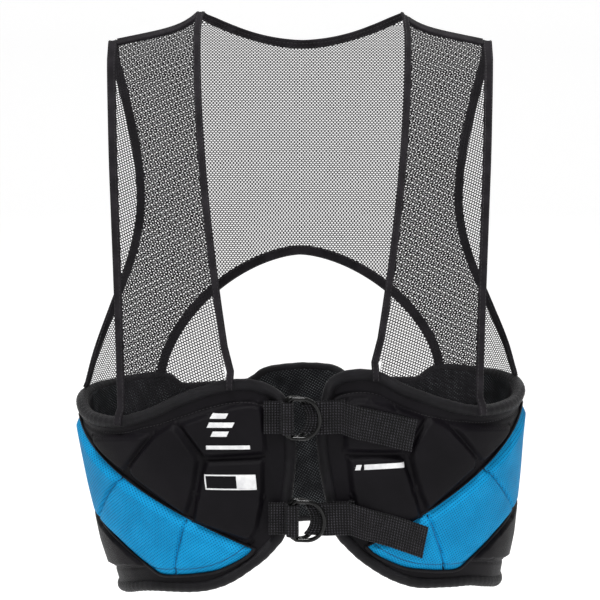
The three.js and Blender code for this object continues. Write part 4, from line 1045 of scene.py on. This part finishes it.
# ------------------------------
# Ring loops: webbing sewn flat on the left belt end and folded round the
# straight bars of two D-rings, one loop for each row of the closure.
WEBBING_WIDTH, WEBBING_WALL = 0.0254, 0.0016
PLY = WEBBING_WALL / 2
RING_WIRE, RING_CLEAR = 0.0017, 0.001
RING_HALF = WEBBING_WIDTH / 2 + RING_CLEAR + RING_WIRE
RUN_OUT = ROLL_OUT + ROLL_RADIUS + 0.0006 + PLY
WRAP = RING_WIRE + 0.00075 + PLY
RING_OUT = RUN_OUT + WRAP
INNER_RING = {"bar": -0.0105, "straight": -0.004, "bow": 0.0083,
              "bar_out": RING_OUT, "bow_out": RING_OUT}
OUTER_RING = {"bar": -0.0085, "straight": 0.0015, "bow": 0.0153,
              "bar_out": RING_OUT + 2 * RING_WIRE + 0.0009, "bow_out": RING_OUT + 2 * WRAP + 0.0003}
ROWS = {"upper": -0.3005, "lower": -0.380}


def closure_point(height, x, rise, out):
    """A place on the flat closure: x along the belt, rise along its height, out from the form."""
    here, normal = form_frame(0.0, height)
    up = unit(np.cross(normal, [1, 0, 0]))
    x, rise, out = np.broadcast_arrays(x, rise, out)
    return here + x[..., None] * np.array([1, 0, 0]) + rise[..., None] * up + out[..., None] * normal


def resample(points, pitch):
    """Smooth run through chosen points, with a station every pitch."""
    points = np.asarray(points, float)
    steps = np.linalg.norm(np.diff(points, axis=0), axis=-1).reshape(len(points) - 1, -1).max(-1)
    keys = np.concatenate([[0], np.cumsum(steps)])
    at = np.linspace(0, keys[-1], int(keys[-1] / pitch) + 1)
    shape = points.shape[1:]
    columns = points.reshape(len(points), -1)
    smooth = [read_table({"at": keys, "value": column}, "value", at) for column in columns.T]
    return np.stack(smooth, -1).reshape(len(at), *shape)


def webbing_cloth():
    """Heavy woven webbing: fine warp ribs along its length, crossed by the weft, with painted highlights
    on the rib crests and painted shade between them.
    """
    look = new_look("woven_webbing", 0.55, 0.15, {"Sheen Weight": 0.02})
    colour, noise, u, v = woven(look, (0.004, 0.0038, 0.0045), (0.0085, 0.008, 0.0095), 0.01)
    weave = u.wave(0.0022) + v.wave(0.0021) * 0.7
    # painted highlight and shade: the colour is scaled up on the rib crests and down between the ribs
    light = {0: colour, "Scale": weave.mapped(0.1, 1.6, 0.35, 6.0)}
    rib_shaded_colour = node(look.node_tree, "ShaderNodeVectorMath", light, operation="SCALE").outputs[0]
    return cover(look, rib_shaded_colour, weave + noise * 1.5, 0.9, 0.0004)


webbing_look = webbing_cloth()
ACROSS = np.array([-1, -0.985, -0.94, -0.8, -0.5, -0.2, 0.2, 0.5, 0.8, 0.94, 0.985, 1])
EDGE_WALL = np.array([0.25, 0.7, 0.95, 1, 1, 1, 1, 1, 1, 0.95, 0.7, 0.25])
RISES = ACROSS * WEBBING_WIDTH / 2


def webbing_strip(name, middle, replaced):
    """Strip with selvedges from a grid of points: stations by places across."""
    along = np.gradient(middle, axis=0)
    across = np.gradient(middle, axis=1)
    normal = unit(np.cross(along, across)) * PLY * EDGE_WALL[:, None]
    length = lengths(middle[:, 5])
    strip = slab(name, middle + normal, middle - normal, pair(length[:, None], RISES))
    dress(strip, webbing_look, "webbing", replaced)


TAB_END = -0.028
BEND = 0.0022
LEFT, RIGHT = INNER_RING["bar"] - RING_WIRE - 0.0006, OUTER_RING["bar"] + RING_WIRE + 0.0006
for row, height in ROWS.items():
    low, lid = RUN_OUT, RUN_OUT + WEBBING_WALL + 0.0001
    floor_out, roof = RUN_OUT + PLY, OUTER_RING["bar_out"] + RING_WIRE + 0.0003
    fold = [(x, low) for x in (TAB_END, TAB_END + 0.006, LEFT)]
    for middle_x, middle_out, start in ((RIGHT + PLY - BEND, low + BEND, -90),
                                        (RIGHT + PLY - BEND, roof + PLY - BEND, 0),
                                        (LEFT - PLY + BEND, roof + PLY - BEND, 90)):
        fold += [(middle_x + BEND * math.cos(a), middle_out + BEND * math.sin(a))
                 for a in np.radians([start, start + 22, start + 45, start + 68, start + 90])]
    fold += [(LEFT - PLY - 0.0002, floor_out + 0.0032), (LEFT - PLY - 0.0012, floor_out + 0.0014),
             (LEFT - PLY - 0.0032, lid), (TAB_END + 0.006, lid), (TAB_END, lid)]
    fold = np.array(fold)
    middle = closure_point(height, fold[:, :1], RISES, fold[:, 1:])
    webbing_strip(f"ring_loop_webbing_{row}", resample(middle, 0.0007), f"ring_loop_{row}")

# ------------------------------
# D-rings: moulded gloss plastic, a straight bar that the loop holds and a
# round bow that the strap is threaded through, two rings to each row.


def ring_plastic():
    look = new_look("gloss_ring_plastic", 0.18, 0.24)
    colour, noise = mottled(look, (0.003, 0.003, 0.003), (0.006, 0.006, 0.006), 0.01, detail=2)
    rough = look.node_tree.nodes["Principled BSDF"].inputs["Roughness"]
    look.node_tree.links.new(noise.mapped(0.0, 1.0, 0.12, 0.24).socket, rough)
    return cover(look, colour, noise, 0.06, 0.0002)


ring_look = ring_plastic()
for row, height in ROWS.items():
    for label, ring in (("inner", INNER_RING), ("outer", OUTER_RING)):
        corner = 0.003
        bar, straight, bow = (ring[part] for part in ("bar", "straight", "bow"))
        a = np.radians([90, 67, 45, 22, 0])
        turn_in = pair(bar + corner * (1 - np.sin(a)), RING_HALF - corner * (1 - np.cos(a)))
        a = np.linspace(math.pi / 2, -math.pi / 2, 49)
        round_bow = pair(straight + (bow - straight) * np.cos(a), RING_HALF * np.sin(a))
        side_bar = pair(bar, np.linspace(-RING_HALF + corner, RING_HALF - corner, 24)[1:-1])
        outline = np.concatenate([turn_in, round_bow, turn_in[::-1] * [1, -1], side_bar])
        out = np.interp(outline[:, 0], [bar, bow], [ring["bar_out"], ring["bow_out"]])
        here = closure_point(height, outline[:, 0], outline[:, 1], out)
        run = run_along(here, form_frame(0.0, height)[1], closed=True)
        sweep_tape(f"d_ring_{label}_moulded_{row}", run, ring_outline(RING_WIRE, 16),
                   (ring_look, "ring_plastic", f"d_ring_{label}_{row}"), closed=True)

# ------------------------------
# Straps: webbing sewn to the right belt end, run under both bows, round the
# inner ring and back out under the outer one, with the tail hanging loose.
TAILS = {"upper": 0.084, "lower": 0.095}
TAIL_SLOPE, TAIL_SAG, TAIL_LEAN = 0.27, 0.002, 0.6
TAIL_FALL = {"upper": 0.001, "lower": 0.005}
SEWN = {"upper": 0.0042, "lower": 0.0055}
BOW_SQUEEZE = 0.92


def bow_at(ring, rise):
    return ring["straight"] + (ring["bow"] - ring["straight"]) * np.sqrt(1 - (rise / RING_HALF) ** 2)


for row, height in ROWS.items():
    foot_share = (BELT_TOP - height + WEBBING_WIDTH / 2) / BELT_HEIGHT
    edge_turn = OPENING
    if row == "lower":
        edge_turn = float(np.interp(foot_share, BOTTOM["fall"][:12], BOTTOM["turn"][:12]))
    roll_end = float(arc_at(panel_turn(edge_turn, 1))) + ROLL_RADIUS + 0.0013
    panel_out, rest_out = SHELL_OUT + 0.0003 + PLY, SHELL_OUT + 0.0059 + PLY
    over = RUN_OUT + 2 * WRAP
    held = RISES * BOW_SQUEEZE
    steep = (bow_at(INNER_RING, held + 0.0001) - bow_at(INNER_RING, held - 0.0001)) / 0.0002
    lines = []
    # sewn end and way over the roll, then round the inner ring, then out under the outer one
    for past_roll, out in ((SEWN[row], panel_out), (0.0022, panel_out), (0, RUN_OUT), (-0.006, RUN_OUT),
                           (-0.011, RUN_OUT)):
        lines.append(lay_flat(pair(roll_end + past_roll, height + RISES), out))
    for bow, out in ((0.5, 0), (-0.4, 0.12), (-0.8, 0.5), (-1, 1), (-0.8, 1.5), (-0.4, 1.88), (0.5, 2)):
        x = bow_at(INNER_RING, held) + bow * WRAP * np.hypot(1, steep)
        lines.append(closure_point(height, x, held, RUN_OUT + out * WRAP))
    for x in (OUTER_RING["bow"], roll_end):
        lines.append(lay_flat(pair(x, height + RISES), over))
    for share in np.linspace(0, 1, 16)[1:]:
        x = roll_end + (TAILS[row] - roll_end) * share
        lean = TAIL_SLOPE * min(3 * share, 1)
        rise = RISES / math.hypot(1, lean)
        out = over + (rest_out - over) * min(3.2 * share, 1) + 0.0006 * math.sin(9 * share)
        drop = TAIL_SLOPE * (TAILS[row] - roll_end) * share + TAIL_SAG * min(4 * share, 1)
        drop += TAIL_FALL[row] * share**2
        curl = 0.0006 * np.abs(ACROSS) ** 3 * share
        lines.append(lay_flat(pair(x + rise * lean * TAIL_LEAN, height - drop + rise), out + curl))
    webbing_strip(f"strap_webbing_{row}", resample(np.array(lines), 0.0011), f"strap_{row}")

# ------------------------------
# Stitches: lock stitch in black thread along every seam, blue over the band,
# each one a short spindle that lies in the cloth and follows the seam.
STITCH_PITCH, STITCH_LENGTH, STITCH_THICK = 0.0031, 0.0024, 0.00055


def plain_look(name, dark, light, size, strength, roughness):
    """A colour and a relief that vary only by soft noise."""
    look = new_look(name, roughness)
    return cover(look, *mottled(look, dark, light, size), strength, 0.0001)


def sew(name, seam_lines, look, slot, pitch=STITCH_PITCH):
    """Lays a stitch every few millimetres along lines of points."""
    points, edges = [], []
    for line in seam_lines:
        first = len(points)
        points += [tuple(p) for p in line]
        edges += [(k, k + 1) for k in range(first, len(points) - 1)]
    seam = new_object(name, points, [], edges)
    tree, given, sockets = node_group("lock_stitch", "Pitch", "Length", "Thickness")
    path = node(tree, "GeometryNodeMeshToCurve", {"Mesh": given[0]}).outputs[0]
    spaced = node(tree, "GeometryNodeResampleCurve", {"Curve": path, "Length": given[1]}, mode="LENGTH")
    along = node(tree, "GeometryNodeInputTangent").outputs[0]
    turned = node(tree, "FunctionNodeAlignRotationToVector", {"Vector": along}, axis="Z")
    spindle = node(tree, "GeometryNodeMeshUVSphere", {"Segments": 5, "Rings": 3, "Radius": 0.5})
    shape = node(tree, "ShaderNodeCombineXYZ", {0: given[3], 1: given[3], 2: given[2]})
    laid = node(tree, "GeometryNodeInstanceOnPoints", {"Points": spaced.outputs[0],
                "Instance": spindle.outputs[0], "Rotation": turned.outputs[0], "Scale": shape.outputs[0]})
    run_group(seam, tree, laid.outputs[0], look, sockets, (pitch, STITCH_LENGTH, STITCH_THICK))
    enlist(seam, slot)


def beside(run, across, up):
    """The line that lies a little to one side of a tape's middle, and on its face."""
    here, side, above = run
    return here + side * across + above * up


black_thread = plain_look("black_thread", (0.010, 0.009, 0.011), (0.024, 0.022, 0.025), 0.004, 0.3, 0.5)
blue_thread = plain_look("blue_thread", (0.001, 0.035, 0.10), (0.001, 0.05, 0.14), 0.004, 0.3, 0.5)
for side, name in SIDES:
    top, bottom, inner = front_edges(side, 240, 40)
    from_opening = np.abs(top[:, 0] - CLOSURE_SHIFT)
    sewn = []
    for places, first in ((top - pair(0, top_seam(from_opening)), 6), (bottom + [0, FOOT_SEAM], 14)):
        places = places[(from_opening > first) & (from_opening < SIDE_SEAM - 1)]
        flat = pair(arc_at(places[:, 0]), places[:, 1])
        covered = (places[:, 1] < band_top(np.abs(places[:, 0]))) & (np.abs(places[:, 0]) < 45)
        line = lay(places, face_out(side, flat) - SEAM_DIP + 0.0002)
        sewn.append(line[~covered])
    sew(f"face_stitches_{name}", sewn, black_thread, "black_fabric")
    band_sewn = []
    for seam in BAND_SEAMS:
        flat = resample(on_belt(seam, side), 0.002)
        band_sewn.append(lay_flat(flat, band_out(side, flat) + 0.0001))
    round_turn = np.linspace(15.5, 47, 60)
    turn, height = panel_turn(round_turn, side), bottom_height(round_turn) + FOOT_SEAM
    band_sewn.append(on_form(turn, height, band_out(side, pair(arc_at(turn), height)) - 0.0007))
    sew(f"band_stitches_{name}", band_sewn, blue_thread, "blue_mesh", pitch=0.0016)
tape_runs = [(run, 0.0026) for run in armhole_stations.values()]
tape_runs += [(neck_stations, 0.0018), (arch_stations, 0.0031)]
tape_sewn = [beside(run, across, up) for run, reach in tape_runs
             for across in (-reach, reach) for up in (-0.0011, 0.0011)]
sew("tape_stitches", tape_sewn, black_thread, "binding_tape")

# ------------------------------
# Printed marks: plain white shapes pressed on the front pads, a stack of bars
# over a line on the left, a small framed plate under it and a line on the right.
MARK_OUT, MARK_LIFT, MARK_ROOT = 0.0003, 0.00022, 0.0006
white_print = plain_look("printed_white", (0.62, 0.62, 0.63), (0.80, 0.80, 0.80), 0.006, 0.2, 0.55)


def pressed_mark(name, side, shape, columns=24, rows=12):
    """Thin print on the face cloth; shape is its corners as (arc, height) from the top left."""
    a, b, c, d = (np.array(p) for p in shape)
    u, v = np.linspace(0, 1, columns)[None, :, None], np.linspace(0, 1, rows)[:, None, None]
    places = (1 - v) * ((1 - u) * a + u * b) + v * ((1 - u) * d + u * c)
    out = face_out(side, places) + MARK_OUT
    return slab(name, lay_flat(places, out + MARK_LIFT), lay_flat(places, out - MARK_ROOT), places)


def bar(left, top, right, bottom, slant=0.0):
    return ((left + slant, top), (right + slant, top), (right, bottom), (left, bottom))


MARKS = (
    ("mark_bar_a", -1, bar(-0.0665, -0.2965, -0.0545, -0.3005, 0.0020)),
    ("mark_bar_b", -1, bar(-0.0690, -0.3035, -0.0500, -0.3075, 0.0020)),
    ("mark_bar_c", -1, bar(-0.0665, -0.3105, -0.0545, -0.3145, 0.0020)),
    ("mark_line_left", -1, bar(-0.0705, -0.3215, -0.0375, -0.3245)),
    ("plate_top", -1, bar(-0.0745, -0.3445, -0.0350, -0.3455)),
    ("plate_foot", -1, bar(-0.0745, -0.3555, -0.0350, -0.3565)),
    ("plate_end", -1, bar(-0.0745, -0.3455, -0.0735, -0.3555)),
    ("plate_fill", -1, bar(-0.0500, -0.3455, -0.0350, -0.3555)),
    ("mark_line_right", 1, bar(0.0470, -0.3390, 0.0780, -0.3430)),
    ("mark_dash_right", 1, bar(0.0400, -0.3390, 0.0440, -0.3430, 0.0012)),
)
for name, side, shape in MARKS:
    mark = pressed_mark(name, side, shape)
    dress(mark, white_print, "black_fabric")
